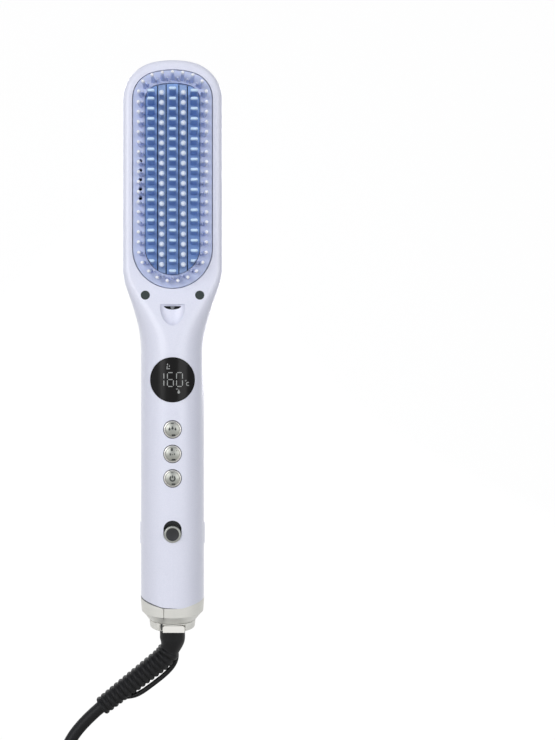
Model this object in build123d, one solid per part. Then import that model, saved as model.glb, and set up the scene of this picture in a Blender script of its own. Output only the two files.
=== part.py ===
from build123d import *
import math
import os

# Electric steam styling brush, in mm. +Z runs up the handle to the head's top, +X is to the right,
# and the bristles face -Y. The origin is on the handle's axis, in the middle of the hand grip.

# Outside of the body
grip_to_end = 61.6
grip_to_neck = 60.0
neck_length = 41.5
head_side_length = 83.6
handle_half_width = 15.68
handle_depth = 17.5
head_half_width = 24.4
head_front = 12.0
head_back = 13.0
handle_flat = 0.7
front_round = 3.5
back_round = 7.5
arch_radius = 45.0
arch_corner = 19.0
crown_depth = 15.0
crown_height = 19.0
wall = 2.2
overrun = 5.0
seat_gap = 0.05
fit_gap = 0.1
move_gap = 0.3

# The neck's outline: share of its length, then share of the way from handle to head in width and depth
neck_shares = [
    (0.0, 0.0, 0.0), (0.133, 0.012, 0.03), (0.253, 0.065, 0.12), (0.373, 0.165, 0.28), (0.494, 0.31, 0.48),
    (0.614, 0.48, 0.67), (0.735, 0.68, 0.83), (0.855, 0.87, 0.94), (1.0, 1.0, 1.0),
]

# Places that follow from these sizes
end_z = -grip_to_end
neck_z = grip_to_neck
head_z = neck_z + neck_length
arch_z = head_z + head_side_length
arch_span = math.sqrt((arch_radius - arch_corner) ** 2 - (head_half_width - arch_corner) ** 2)
arch_top_z = arch_z + arch_radius - arch_span

# Pad of bristles
pad_half_width = 19.6
pad_below_head = 9.1
pad_rim = 5.5
pad_arch_radius = 36.0
pad_corner = 13.0
zone_half_width = 13.2
zone_rise = 7.0
zone_drop = 6.8
zone_arch_radius = 30.0
zone_corner = 7.5
seam = 0.3
rim_seam = 0.45
pad_thickness = 2.5
pad_flange = 1.4
flange_thickness = 1.0
comb_width = 5.7
strip_gap = 0.5
comb_drop = 0.4
comb_thickness = 2.6
tooth_height = 9.0
tooth_length = 3.5
tooth_width = 1.4
tooth_foot = 0.35
tooth_dome = 0.5
centre_teeth = 19
side_teeth = 18
first_tooth_drop = 4.9
last_tooth_rise = 0.95
side_tooth_drop = 5.9
bristle_count = 18
bristle_drop = 6.6
bristle_height = 8.6
bristle_ball = 1.25
bristle_stem = 0.75
bristle_foot = 1.1
ring_pins = 49
pin_height = 7.4
pin_foot = 1.15
pin_tip = 0.8
pin_inset = 4.3
pin_lean_share = 0.1
small_pins = 47
small_pin_height = 5.0
small_pin_foot = 0.6
small_pin_tip = 0.42
small_pin_inset = 5.35
steam_holes = 5
steam_hole_radius = 0.92
steam_pitch = 4.53
steam_gap_number = 12

# Heater and steam parts in the head
plate_thickness = 1.5
plate_margin = 0.6
element_width = 7.0
element_length = 70.0
element_thickness = 2.0
element_gap = 3.0
tray_thickness = 1.4
tray_lip = 0.45
sensor_radius = 1.4
sensor_length = 7.0
fuse_radius = 2.0
fuse_length = 12.0
bar_width = 3.7
bar_height = 26.0
bar_depth = 4.6
bar_wall = 1.0
chamber_width = 17.0
chamber_height = 22.0
chamber_depth = 8.5
chamber_lift = -5.0
pump_rise = 14.1
pump_length = 16.0
pump_cradle = 0.5
elbow_length = 2.4
tube_radius = 1.6
tube_bore = 0.9
hose_x = 10.9
corner_share = 0.45

# Controls on the handle's front
window_radius = 10.8
window_below_neck = 11.7
window_thickness = 1.5
window_ledge = 1.3
button_pitch = 11.75
button_low_z = 1.0
button_radius = 3.45
button_dome = 0.7
button_travel = 0.6
bezel_radius = 4.2
bezel_proud = 0.25
bezel_depth = 2.4
button_flange = 0.5
button_seam = 0.25
bezel_flange = 0.9
button_flange_thickness = 0.8
switch_z = -24.6
switch_half_width = 4.35
switch_height = 10.7
knob_radius = 4.05
knob_travel = 2.3
knob_proud = 0.9
knob_depth = 2.4
cap_radius = 3.1
cap_depth = 1.1
cap_dish = 0.35
stem_half = 1.2
switch_seat_thickness = 1.2
switch_body_depth = 4.6
board_thickness = 1.6
board_half_width = 9.6
board_set_back = 8.3
board_below = 10.0
board_over_neck = 1.0
tact_side = 6.0
tact_height = 1.9
tact_plunger = 1.5
tact_clear = 0.15
module_radius = 9.2
post_x = 7.6
post_radius = 1.5
main_board_share = 17 / 60
main_board_half_width = 10.5
main_board_below = 15.0
main_board_under_neck = 2.0
component_shares = [
    (0.2, -0.1, 0.3), (0.36, 0.35, 0.22), (0.5, -0.3, 0.32), (0.66, 0.2, 0.26), (0.8, -0.1, 0.2),
]
component_height_share = 13 / 30

# Screw plugs, neck screws and the ion outlet
plug_x = 13.2
plug_below_head = 12.2
plug_radius = 2.25
plug_thickness = 1.4
boss_wall = 1.2
screw_head = 1.9
screw_head_height = 1.4
screw_shank = 1.1
scoop_half_width = 6.1
scoop_below_head = 16.7
scoop_length = 12.4
scoop_depth = 3.1
scoop_wall = 1.4
slit_half_width = 4.15
slit_height = 1.7
slit_drop = 0.7
ion_box_depth = 5.0
ion_box_height = 5.5
needle_radius = 0.5
needle_length = 1.6

# Water tank, its bay, port and tabs
tank_half_width = 14.6
tank_over_neck = 3.1
tank_over_end = 6.5
tank_top_arch = 17.0
tank_top_corner = 9.5
tank_low_arch = 15.6
tank_low_corner = 12.6
tank_wall = 1.3
tank_floor_y = 1.6
tank_lip_y = 5.0
tank_inner_half = 12.6
bay_gap = 0.25
bay_floor = 1.2
port_rise = 11.5
port_half_width = 4.55
port_half_height = 2.5
port_round = 0.9
port_slot_half_width = 3.2
port_slot_half_height = 1.3
port_proud = 0.35
port_depth = 2.6
stopper_recess = 0.5
grip_shares = [0.5, 0.7]
valve_rise = 11.1
valve_radius = 2.4
valve_bore = 1.2
seal_wall = 1.0
disc_rise = 48.0
disc_radius = 5.3
disc_thickness = 1.0
level_drop = 18.1
level_step = 2.2
level_height = 1.0
boss_x = 8.7
boss_rise = 13.9
small_boss_radius = 1.6
ring_drop = 27.5
ring_radius = 3.0
ring_wall = 0.7
baffle_rise = 19.0
tab_rise = 26.5
tab_height = 11.0
tab_y = 2.7
tab_half_depth = 1.7
tab_proud = 0.45
tab_travel = 1.0
tab_reach = 0.5
tab_flange = 0.6

# Collar, swivel and strain relief
collar_side = 4.6
collar_slope = 4.4
collar_inset = 0.35
collar_foot_radius = 11.8
spigot_height = 3.5
spigot_wall = 1.2
bush_radius = 9.5
shaft_radius = 7.0
shaft_bore = 4.6
running_gap = 0.05
bush_height = 8.6
ring_gap = 0.3
swivel_height = 4.0
swivel_top_radius = 11.6
swivel_foot_radius = 11.1
swivel_edge = 0.8
notch_half_width = 6.3
notch_depth = 3.4
notch_roof = 0.5
block_half_width = 5.3
block_shift = 0.6
block_set_back = 0.5
clip_radius = 9.0
clip_thickness = 0.8
slip_thickness = 1.6
shaft_head = 4.0
contact_thickness = 1.6
contact_lift = 3.2
spring_width = 1.4
spring_length = 5.0
spring_thickness = 0.3
relief_radius = 6.3
relief_neck_radius = 5.7
relief_end_radius = 4.6
relief_seat = 2.2
relief_straight = 5.0
relief_bend = 15.0
relief_turn_share = 0.5756
relief_run = 37.5
relief_smooth = 12.0
rib_pitch = 2.8
rib_depth = 0.85
rib_share = 0.3
neck_taper_shares = [(0.0, 0.0), (0.6, 0.0), (0.8, 0.5)]
loop_radius = 1.1
loop_bend = 8.0
# The strap's places: distance along the relief's middle line, then distance out from it
loop_places = [(11.0, 2.6), (15.5, 5.9), (21.0, 7.2), (30.0, 7.3), (38.0, 6.8), (44.5, 2.2)]

# Cord, coil, tie and plug
cord_diameter = 6.0
cord_points = [
    (-46.8, 0.0, -124.7), (-54.6, -3.2, -138.2), (-56.2, -9.0, -153.2), (-50.5, -15.8, -167.0),
    (-38.5, -21.4, -176.6), (-23.0, -24.8, -180.6),
]
coil_entry = (-8.0, -24.8, -180.6)
coil_inner_radius = 28.1
turn_step = 6.6
layer_step = 6.6
half_turns = 15
coil_tail = 18.0
halves_a_layer = 4
tie_width = 9.0
tie_thickness = 1.2
tie_gap = 0.4
plug_length = 34.0
plug_half_depth = 5.6
plug_neck = 9.0
plug_round = 3.2
pin_radius = 2.0
pin_length = 19.0
pin_spacing = 18.6
plug_half_breadth = 13.4


def prism(face, y0, y1):
    """A face drawn in X and Z, made solid from y0 back to y1."""
    return extrude(Plane.XZ.offset(-y1) * face, amount=y1 - y0)


def rodY(x, z, radius, y0, y1):
    return prism(Pos(x, z) * Circle(radius), y0, y1)


def rodZ(radius, z0, z1):
    return Pos(0, 0, (z0 + z1) / 2) * Cylinder(radius, z1 - z0)


def block(x0, x1, y0, y1, z0, z1):
    return Pos((x0 + x1) / 2, (y0 + y1) / 2, (z0 + z1) / 2) * Box(x1 - x0, y1 - y0, z1 - z0)


def archSide(half, top_z, bottom_z, arch, corner):
    """The right half of a flattened arch: its edges from the bottom right up to the middle of the top."""
    span = math.sqrt((arch - corner) ** 2 - (half - corner) ** 2)
    corner_z = top_z - arch + span
    lean = math.degrees(math.atan2(span, half - corner))
    side = Line((half, bottom_z), (half, corner_z))
    round_edge = CenterArc((half - corner, corner_z), corner, 0, lean)
    top_edge = CenterArc((0, top_z - arch), arch, lean, quarter_turn - lean)
    return [side, round_edge, top_edge]


def archOutline(half, top_z, bottom_z, arch, corner):
    """A flat-bottomed outline with a flattened arch on top, drawn in X and Z."""
    right = archSide(half, top_z, bottom_z, arch, corner)
    left = [edge.mirror(Plane.YZ) for edge in right]
    return make_face(Curve() + right + left + Line((-half, bottom_z), (half, bottom_z)))


def oval(half, top_z, bottom_z, arch, corner):
    """A flattened arch on top and a half circle below, drawn in X and Z."""
    right = archSide(half, top_z, bottom_z + half, arch, corner)
    left = [edge.mirror(Plane.YZ) for edge in right]
    return make_face(Curve() + right + left + CenterArc((0, bottom_z + half), half, 2 * quarter_turn, 2 * quarter_turn))


def padOval(inset):
    return oval(
        pad_half_width - inset, pad_top_z - inset, pad_bottom_z + inset,
        pad_arch_radius - inset, pad_corner - inset,
    )


def zoneOval(inset):
    return oval(
        zone_half_width - inset, zone_top_z - inset, zone_bottom_z + inset,
        zone_arch_radius - inset, zone_corner - inset,
    )


def section(z, half, front, back, front_corner, back_corner):
    """One cross-section of the body at height z: four short lines and four quarter ellipses."""
    (fx, fy), (bx, by) = front_corner, back_corner
    quarter = quarter_turn
    edges = [
        Line((fx - half, -front), (half - fx, -front)),
        EllipticalCenterArc((half - fx, fy - front), fx, fy, start_angle=-quarter, arc_size=quarter),
        Line((half, fy - front), (half, back - by)),
        EllipticalCenterArc((half - bx, back - by), bx, by, start_angle=0, arc_size=quarter),
        Line((half - bx, back), (bx - half, back)),
        EllipticalCenterArc((bx - half, back - by), bx, by, start_angle=quarter, arc_size=quarter),
        Line((-half, back - by), (-half, fy - front)),
        EllipticalCenterArc((fx - half, fy - front), fx, fy, start_angle=2 * quarter, arc_size=quarter),
    ]
    return Pos(0, 0, z) * make_face(edges)


def mix(a, b, share):
    return a + (b - a) * share


def neckSection(z, width_share, depth_share, inset):
    """The body's section where it is these shares of the way from handle to head."""
    half = mix(handle_half_width, head_half_width, width_share) - inset
    front = mix(handle_depth, head_front, depth_share) - inset
    back = mix(handle_depth, head_back, depth_share) - inset
    round_x, round_y = handle_half_width - handle_flat, handle_depth - handle_flat
    front_corner = [mix(size, front_round, depth_share) - inset for size in (round_x, round_y)]
    back_corner = [mix(size, back_round, depth_share) - inset for size in (round_x, round_y)]
    return section(z, half, front, back, front_corner, back_corner)


def headBody(inset):
    """The head: its outline made solid, rounded front and back, with the long crown cut at the top."""
    front, back = inset - head_front, head_back - inset
    top_z = arch_top_z - inset
    face = archOutline(head_half_width - inset, top_z, head_z, arch_radius - inset, arch_corner - inset)
    body = prism(face, front, back)
    above = [e for e in body.edges() if e.center().Z > head_z + seam]
    front_edges = [e for e in above if abs(e.center().Y - front) < seam / 2]
    back_edges = [e for e in above if abs(e.center().Y - back) < seam / 2]
    body = fillet(front_edges, front_round - inset)
    back_edges = [
        e for e in body.edges()
        if abs(e.center().Y - back) < seam / 2 and e.center().Z > head_z + seam
    ]
    body = fillet(back_edges, back_round - inset)
    crown_y, crown_z = head_back - crown_depth, arch_top_z - crown_height
    profile = Pos(crown_y, crown_z) * Ellipse(crown_depth - inset, crown_height - inset)
    corner = Pos(crown_y + crown_depth, crown_z + crown_height) * Rectangle(2 * crown_depth, 2 * crown_height)
    cutter = extrude(Plane.YZ.offset(-head_half_width - overrun) * (corner - profile),
                     amount=2 * (head_half_width + overrun))
    return body - cutter


def neckBody(inset):
    faces = [
        neckSection(neck_z + neck_length * share, width_share, depth_share, inset)
        for share, width_share, depth_share in neck_shares
    ]
    return loft(faces)


def handleBody(inset, bottom_z):
    return extrude(neckSection(bottom_z, 0, 0, inset), amount=neck_z - bottom_z)


def skin(inset, bottom_z):
    """The whole body's outer skin, or the same shape set in by a wall."""
    return handleBody(inset, bottom_z) + neckBody(inset) + headBody(inset)


def capsule(foot, tip, height, dome):
    """A tapered pin with a domed end, standing on the XY plane."""
    profile = make_face(
        Curve() + Polyline((0, 0), (foot, 0), (tip, height - dome))
        + ThreePointArc((tip, height - dome), (tip * math.sqrt(1 / 2), height - dome * (1 - math.sqrt(1 / 2))),
                        (0, height))
        + Line((0, height), (0, 0))
    )
    return revolve(Plane.XZ * profile, Axis.Z)


def ballPin(foot, stem, ball, height):
    """A bristle with a ball end, standing on the XY plane."""
    stalk = Pos(0, 0, (height - ball) / 2) * Cone(foot, stem, height - ball)
    return stalk + Pos(0, 0, height - ball) * Sphere(ball)


def facing(x, y, z, lean_x, lean_z):
    """A place on the pad whose own Z points out of the pad, leaning by two small offsets."""
    return Plane(origin=(x, y, z), x_dir=(1, 0, lean_x), z_dir=(lean_x, -1, lean_z)).location


def tooth():
    """An oblong tooth, tapered, with a domed end, standing on the XY plane."""
    foot = SlotOverall(tooth_length + tooth_foot, tooth_width + tooth_foot)
    low = loft([foot, Pos(0, 0, tooth_height - tooth_dome) * SlotOverall(tooth_length, tooth_width)])
    tip = loft([
        Pos(0, 0, tooth_height - tooth_dome) * SlotOverall(tooth_length, tooth_width),
        Pos(0, 0, tooth_height) * SlotOverall(tooth_length - tooth_dome, tooth_width - tooth_dome),
    ])
    return low + tip


quarter_turn = math.degrees(math.pi / 2)
pad_bottom_z = head_z - pad_below_head
pad_top_z = arch_top_z - pad_rim
zone_bottom_z = pad_bottom_z + zone_rise
zone_top_z = pad_top_z - zone_drop
zone_middle_z = (zone_bottom_z + zone_top_z) / 2
tooth_pitch = (zone_top_z - zone_bottom_z - first_tooth_drop - last_tooth_rise) / (centre_teeth - 1)
plug_z = head_z - plug_below_head
scoop_top_z = head_z - scoop_below_head
window_z = neck_z - window_below_neck
board_y = board_set_back - handle_depth
board_low_z = button_low_z - board_below
board_top_z = neck_z + board_over_neck
board_room = -board_y - 2 * board_thickness
component_height = board_room * component_height_share
main_board_y = -board_room * main_board_share - board_thickness
main_board_low_z = button_low_z - main_board_below
main_board_top_z = neck_z - main_board_under_neck
tank_top_z = neck_z + tank_over_neck
tank_bottom_z = end_z + tank_over_end
port_z = tank_bottom_z + port_rise
valve_z = tank_bottom_z + valve_rise
disc_z = tank_bottom_z + disc_rise
level_z = tank_top_z - level_drop
ring_z = tank_top_z - ring_drop
boss_z = tank_bottom_z + boss_rise
baffle_z = tank_bottom_z + baffle_rise
tab_z = tank_bottom_z + tab_rise
pad_y = -head_front
comb_y = pad_y + comb_drop
plate_y = comb_y + comb_thickness
ring_back_y = -head_front + wall + flange_thickness
element_y = plate_y + plate_thickness
tray_y = element_y + element_thickness
side_edge = zone_half_width - comb_width
strip_x = (comb_width / 2 + side_edge) / 2

outer = skin(0, end_z)
inner = skin(wall, end_z - overrun)


def frontDepth(x):
    """How far the handle's front stands from the middle plane, at x."""
    flat = handle_flat
    reach = handle_half_width - flat
    across = max(abs(x) - flat, 0) / reach
    return flat + (handle_depth - flat) * math.sqrt(1 - across ** 2)


# Front shell

def scoopCutter(extra):
    """Half of a flattened ball, flat on top, that leaves the scoop's rounded hollow."""
    radii = tuple(size + extra for size in (scoop_half_width, scoop_depth, scoop_length))
    surface_y = -mix(handle_depth, head_front, scoop_share)
    bowl = Pos(0, surface_y, scoop_top_z) * scale(Sphere(1), by=radii)
    side = scoop_half_width + extra + overrun
    low = scoop_top_z - scoop_length - extra - overrun
    return bowl & block(-side, side, surface_y - side, surface_y + side, low, scoop_top_z + extra)


scoop_share = 0.55


def screwBoss(x, radius, y0, y1):
    return rodY(x, plug_z, radius, y0, y1) & outer


def frontShell():
    half_space = block(
        -head_half_width - overrun, head_half_width + overrun, -handle_depth - overrun, 0,
        end_z - overrun, arch_top_z + overrun,
    )
    shell = (outer - inner) & half_space
    boss_radius = plug_radius + boss_wall
    for x in (-plug_x, plug_x):
        shell += screwBoss(x, boss_radius, -handle_depth, 0)
    pocket = scoopCutter(scoop_wall) & outer
    shell += pocket - block(
        -plug_x + boss_radius, plug_x - boss_radius, -wall, 0, neck_z, head_z
    )
    shell -= prism(padOval(0), -head_front - overrun, -head_front + wall + overrun)
    rim = prism(padOval(-pad_flange - fit_gap), -head_front + wall, 0)
    shell -= rim & block(
        -head_half_width, head_half_width, -head_front, 0, pad_bottom_z - pad_flange - fit_gap, arch_top_z
    )
    shell -= scoopCutter(0)
    slit_z = scoop_top_z - slit_drop
    slit = Pos(0, slit_z) * Ellipse(slit_half_width, slit_height)
    slit = slit & Pos(0, slit_z - slit_height) * Rectangle(2 * slit_half_width, 2 * slit_height)
    shell -= prism(slit, -handle_depth, -wall)
    window = Pos(0, window_z) * Circle(window_radius + fit_gap)
    shell -= prism(window, -handle_depth - overrun, 0) - skin(window_thickness, end_z)
    shell -= rodY(0, window_z, window_radius - window_ledge, -handle_depth - overrun, -wall)
    for x in (-post_x, post_x):
        for z in control_post_places:
            shell += rodY(x, z, post_radius, -handle_depth, board_y - seat_gap) & outer
    shell += block(-post_radius, post_radius, -handle_depth, pump_y - pump_radius - seat_gap,
                   pump_z - pump_length / 2, pump_z + pump_length / 2) & outer
    for z in button_places:
        shell -= rodY(0, z, bezel_radius + button_seam, -handle_depth - overrun, -wall)
    opening = Pos(0, switch_z) * SlotOverall(switch_height, 2 * switch_half_width, rotation=quarter_turn)
    shell -= prism(opening, -handle_depth - overrun, -wall)
    for x in (-plug_x, plug_x):
        shell -= rodY(x, plug_z, plug_radius, -handle_depth - overrun, plug_floor_y)
        shell -= rodY(x, plug_z, screw_shank + fit_gap, -handle_depth, overrun)
    return shell


button_places = [button_low_z + button_pitch * k for k in range(3)]
control_post_places = [button_low_z - button_pitch / 2, button_low_z + button_pitch * 5 / 2]
plug_floor_y = -head_front + plug_thickness + screw_head_height + move_gap + wall / 2


# Bristle pad

def pinPath(inset):
    """The right half of the line that a row of pins follows, from the bottom's middle up to the top's."""
    half = pad_half_width - inset
    middle_z = pad_bottom_z + pad_half_width
    low = CenterArc((0, middle_z), half, -quarter_turn, quarter_turn)
    return [low, *archSide(half, pad_top_z - inset, middle_z, pad_arch_radius - inset, pad_corner - inset)]


def pinPlaces(inset, count, shift):
    """Places of count pins round the pad, alike on both sides, as (x, z, outward x, outward z)."""
    edges = pinPath(inset)
    whole = 2 * sum(edge.length for edge in edges)
    found = []
    for k in range((count + 1) // 2):
        left = whole * (k + shift) / count
        for edge in edges:
            if left <= edge.length or edge is edges[-1]:
                break
            left -= edge.length
        share = min(left / edge.length, 1)
        place, way = edge.position_at(share), edge.tangent_at(share)
        found.append((place.X, place.Y, way.Y, -way.X))
        if abs(place.X) > pin_tip / 2:
            found.append((-place.X, place.Y, -way.Y, -way.X))
    return found


def bristleRing():
    """The pale oval ring with its outer row of leaning pins and its inner row of small ones."""
    plate_back = pad_y + pad_thickness
    ring = prism(padOval(rim_seam), pad_y, plate_back)
    ring += prism(padOval(-pad_flange), -head_front + wall + seat_gap, ring_back_y)
    ring -= prism(zoneOval(-seam), pad_y - overrun, plate_back + overrun)
    lean = math.tan(math.radians(pin_lean_share * quarter_turn))
    tall = capsule(pin_foot, pin_tip, pin_height, pin_tip)
    short = capsule(small_pin_foot, small_pin_tip, small_pin_height, small_pin_tip)
    pins = [
        facing(x, pad_y + seam, z, lean * out_x, lean * out_z) * tall
        for x, z, out_x, out_z in pinPlaces(pin_inset, ring_pins, 1 / 2)
    ]
    pins += [
        facing(x, pad_y + seam, z, 0, 0) * short
        for x, z, out_x, out_z in pinPlaces(small_pin_inset, small_pins, 0)
    ]
    ring = ring.fuse(*pins)
    for z in steamPlaces():
        ring -= rodY(-steam_x, z, steam_hole_radius, pad_y - overrun, plate_back + overrun)
    return ring


def steamPlaces():
    """Heights of the steam holes: the middle one is midway between two pins on the left side."""
    rows = sorted((place[1] for place in pinPlaces(pin_inset, ring_pins, 1 / 2) if place[0] < 0), reverse=True)
    middle = (rows[steam_gap_number - 1] + rows[steam_gap_number]) / 2
    return [middle + steam_pitch * (steam_holes // 2 - k) for k in range(steam_holes)]


steam_x = pad_half_width - pin_inset + pin_foot / 4


def zoneStrip(x0, x1, y0, y1):
    """The part of the inner zone between x0 and x1, from y0 back to y1."""
    low, high = zone_bottom_z - overrun, zone_top_z + overrun
    return prism(zoneOval(0), y0, y1) & block(x0, x1, y0 - overrun, y1 + overrun, low, high)


def heatedComb(middle, x0, x1, count):
    bar = zoneStrip(x0, x1, comb_y, plate_y)
    heights = [zone_top_z - first_tooth_drop - tooth_pitch * k for k in range(count)]
    if count < centre_teeth:
        heights[0] = zone_top_z - side_tooth_drop
    shape = tooth()
    teeth = [facing(middle, comb_y + seam / 2, z, 0, 0) * shape for z in heights]
    return bar.fuse(*teeth) & prism(zoneOval(0), -handle_depth - tooth_height, 0)


def bristleStrip(middle, x0, x1):
    bar = zoneStrip(x0, x1, comb_y + seam, plate_y)
    top = zone_top_z - bristle_drop
    shape = ballPin(bristle_foot, bristle_stem, bristle_ball, bristle_height)
    pins = [
        facing(middle, comb_y + seam * 3 / 2, top - tooth_pitch * k, 0, 0) * shape
        for k in range(bristle_count)
    ]
    return bar.fuse(*pins)


# Heater, steam and ion parts

def heaterPlate():
    return prism(zoneOval(plate_margin), plate_y, element_y)


def heaterElements():
    found = []
    for side in (-1, 1):
        x = side * (element_gap + element_width) / 2
        found.append(block(
            x - element_width / 2, x + element_width / 2, element_y, tray_y,
            zone_middle_z - element_length / 2, zone_middle_z + element_length / 2,
        ))
    return Compound(children=found)


def heaterTray():
    """The insulating tray under the heater, with a rim that reaches up to the ring's back."""
    tray = prism(zoneOval(-tray_lip), ring_back_y + seat_gap, tray_y + tray_thickness)
    return tray - prism(zoneOval(plate_margin - seat_gap), pad_y, tray_y)


chamber_bottom_z = head_z + chamber_lift
chamber_top_z = chamber_bottom_z + chamber_height
tray_back_y = tray_y + tray_thickness


def steamChamber():
    """The block that boils the water, with its inlet and outlet nipples."""
    y0, y1 = tray_back_y + fit_gap, tray_back_y + fit_gap + chamber_depth
    half = chamber_width / 2
    body = block(-half, half, y0, y1, chamber_bottom_z, chamber_top_z)
    body = fillet(body.edges().filter_by(Axis.Y), tube_radius)
    middle_y = (y0 + y1) / 2
    nipple = Pos(-half + 2 * tube_radius, middle_y, chamber_top_z + tube_radius / 2) * Cylinder(tube_bore, tube_radius)
    inlet = Pos(half - 2 * tube_radius, middle_y, chamber_bottom_z - tube_radius / 2) * Cylinder(tube_bore, tube_radius)
    return body + nipple + inlet


def steamBar():
    """The outlet bar behind the steam holes: one channel with a nozzle at each hole."""
    places = steamPlaces()
    middle = (places[0] + places[-1]) / 2
    y0 = ring_back_y + seat_gap
    x0, x1 = -steam_x - bar_width / 2, -steam_x + bar_width / 2
    bar = block(x0, x1, y0, y0 + bar_depth, middle - bar_height / 2, middle + bar_height / 2)
    channel = block(
        x0 + bar_wall, x1 - bar_wall, y0 + bar_wall, y0 + bar_depth - bar_wall,
        middle - bar_height / 2 + bar_wall, middle + bar_height / 2 - bar_wall,
    )
    bar -= channel
    bar -= rodY(-steam_x, middle - bar_height / 4, tube_bore, y0 + bar_depth / 2, overrun)
    for z in places:
        bar -= rodY(-steam_x, z, steam_hole_radius, pad_y, y0 + bar_depth / 2)
    return bar


def cornerRadii(points):
    """The largest even radius that each corner of a route takes."""
    radii = []
    for before, here, after in zip(points, points[1:], points[2:]):
        shorter = min((here - before).length, (after - here).length)
        turn = math.radians((here - before).get_angle(after - here))
        radii.append(corner_share * shorter / math.tan(turn / 2))
    return radii


def tube(points, radius, bore, bend):
    """A hose along a route of straight runs joined by arcs."""
    route = [Vector(*p) for p in points]
    path = FilletPolyline(*route, radius=[min(bend, most) for most in cornerRadii(route)])
    start = Plane(origin=path @ 0, z_dir=path % 0)
    return sweep(start * Circle(radius), path=path) - sweep(start * Circle(bore), path=path)


def steamTube():
    """The hose from the steam chamber up and round the tray to the outlet bar's back."""
    places = steamPlaces()
    end_z = (places[0] + places[-1]) / 2 - bar_height / 4
    end_y = ring_back_y + bar_depth + fit_gap
    chamber_y = tray_back_y + fit_gap + chamber_depth / 2
    x0 = -chamber_width / 2 + 2 * tube_radius
    top_z = chamber_top_z + tube_radius + seat_gap
    return tube([
        (x0, chamber_y, top_z), (x0, chamber_y, top_z + 3 * tube_radius),
        (-steam_x, chamber_y, end_z - 3 * tube_radius), (-steam_x, chamber_y, end_z), (-steam_x, end_y, end_z),
    ], tube_radius, tube_bore, 2 * tube_radius)


def sensorAt(x, radius, length):
    place = Pos(x, tray_back_y + fit_gap + radius, chamber_top_z + sensor_length + fuse_length)
    return place * Cylinder(radius, length)


def ionOutlet():
    """The dark insert behind the slit in the scoop, fitted to the scoop's back."""
    y0, y1 = ion_back_y - ion_box_depth, ion_back_y
    side, thin = slit_half_width + slit_height / 2, slit_height / 2
    box = block(-side, side, y0, y1, ion_top_z - ion_box_height, ion_top_z)
    box = (box & skin(wall + seat_gap, end_z)) - scoopCutter(scoop_wall + seat_gap)
    low, high = ion_top_z - ion_box_height + thin, ion_top_z - thin
    return box - block(-slit_half_width, slit_half_width, y0 - overrun, y1 - thin, low, high)


ion_back_y = -mix(handle_depth, head_front, scoop_share) + scoop_depth + ion_box_depth
ion_top_z = scoop_top_z + ion_box_height / 2 - slit_drop


def ionNeedle():
    back = ion_back_y - slit_height / 2 - seat_gap
    z = ion_top_z - ion_box_height / 2
    base = rodY(0, z, 2 * needle_radius, back - needle_length / 2, back)
    tip = Plane(origin=(0, back - needle_length / 2, z), z_dir=(0, -1, 0)).location
    return base + tip * Pos(0, 0, needle_length / 2) * Cone(needle_radius, needle_radius / 4, needle_length)


def screwPlugs():
    found = []
    for x in (-plug_x, plug_x):
        disc = rodY(x, plug_z, plug_radius - fit_gap / 2, -handle_depth, plug_floor_y - screw_head_height - move_gap)
        found.append(disc & outer)
    return Compound(children=[solid for piece in found for solid in piece.solids()])


def neckScrews():
    found = []
    for x in (-plug_x, plug_x):
        head = rodY(x, plug_z, screw_head, plug_floor_y - screw_head_height, plug_floor_y)
        recess = prism(Pos(x, plug_z) * (Rectangle(screw_head, screw_shank / 2) + Rectangle(screw_shank / 2, screw_head)),
                       plug_floor_y - screw_head_height, plug_floor_y - screw_head_height / 2)
        shank = rodY(x, plug_z, screw_shank, plug_floor_y, rear_boss_end_y - wall)
        found.append(head + shank - recess)
    return Compound(children=[solid for piece in found for solid in piece.solids()])


rear_boss_end_y = head_back - wall


# Controls

def displayWindow():
    window = Pos(0, window_z) * Circle(window_radius)
    return (prism(window, -handle_depth, -wall) & outer) - skin(window_thickness - seat_gap, end_z)


def controlBoard():
    return block(
        -board_half_width, board_half_width, board_y, board_y + board_thickness, board_low_z, board_top_z
    )


def displayModule():
    """The lit block behind the window, with a domed frame that follows the curved window."""
    module = rodY(0, window_z, module_radius, -handle_depth, board_y)
    return module & skin(wall + fit_gap, end_z)


def bezel(z):
    """A metal ring around one button, standing a little proud of the curved handle."""
    face_y = -handle_depth - bezel_proud
    ring = rodY(0, z, bezel_radius - seat_gap, face_y, face_y + bezel_proud + bezel_depth)
    ring = fillet(ring.edges().group_by(Axis.Y)[0], bezel_proud * 2)
    flange_y = bezel_depth - handle_depth
    ring += rodY(0, z, bezel_radius + bezel_flange, flange_y, flange_y + button_flange) & inner
    return ring - rodY(0, z, button_radius + fit_gap, face_y - overrun, 0)


def button(z):
    """A domed metal cap with a flange that rests against its bezel."""
    flange_y = -handle_depth + bezel_depth + button_flange + seat_gap
    dome_y = -handle_depth - bezel_proud - button_dome / 2
    sphere_radius = (button_radius ** 2 + button_dome ** 2) / (2 * button_dome)
    cap = rodY(0, z, button_radius, dome_y, flange_y)
    cap &= Pos(0, dome_y + sphere_radius, z) * Sphere(sphere_radius)
    flange = rodY(0, z, button_radius + button_flange, flange_y, flange_y + button_flange_thickness)
    return cap + flange


button_back_y = -handle_depth + bezel_depth + button_flange + seat_gap + button_flange_thickness


def tactSwitches():
    found = []
    half = tact_side / 2
    top_y = board_y - tact_height
    for z in button_places:
        body = block(-half, half, top_y, board_y, z - half, z + half)
        tip_y = button_back_y + button_travel + tact_clear
        found.append(body + rodY(0, z, tact_plunger, tip_y, top_y))
    return Compound(children=found)


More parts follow.
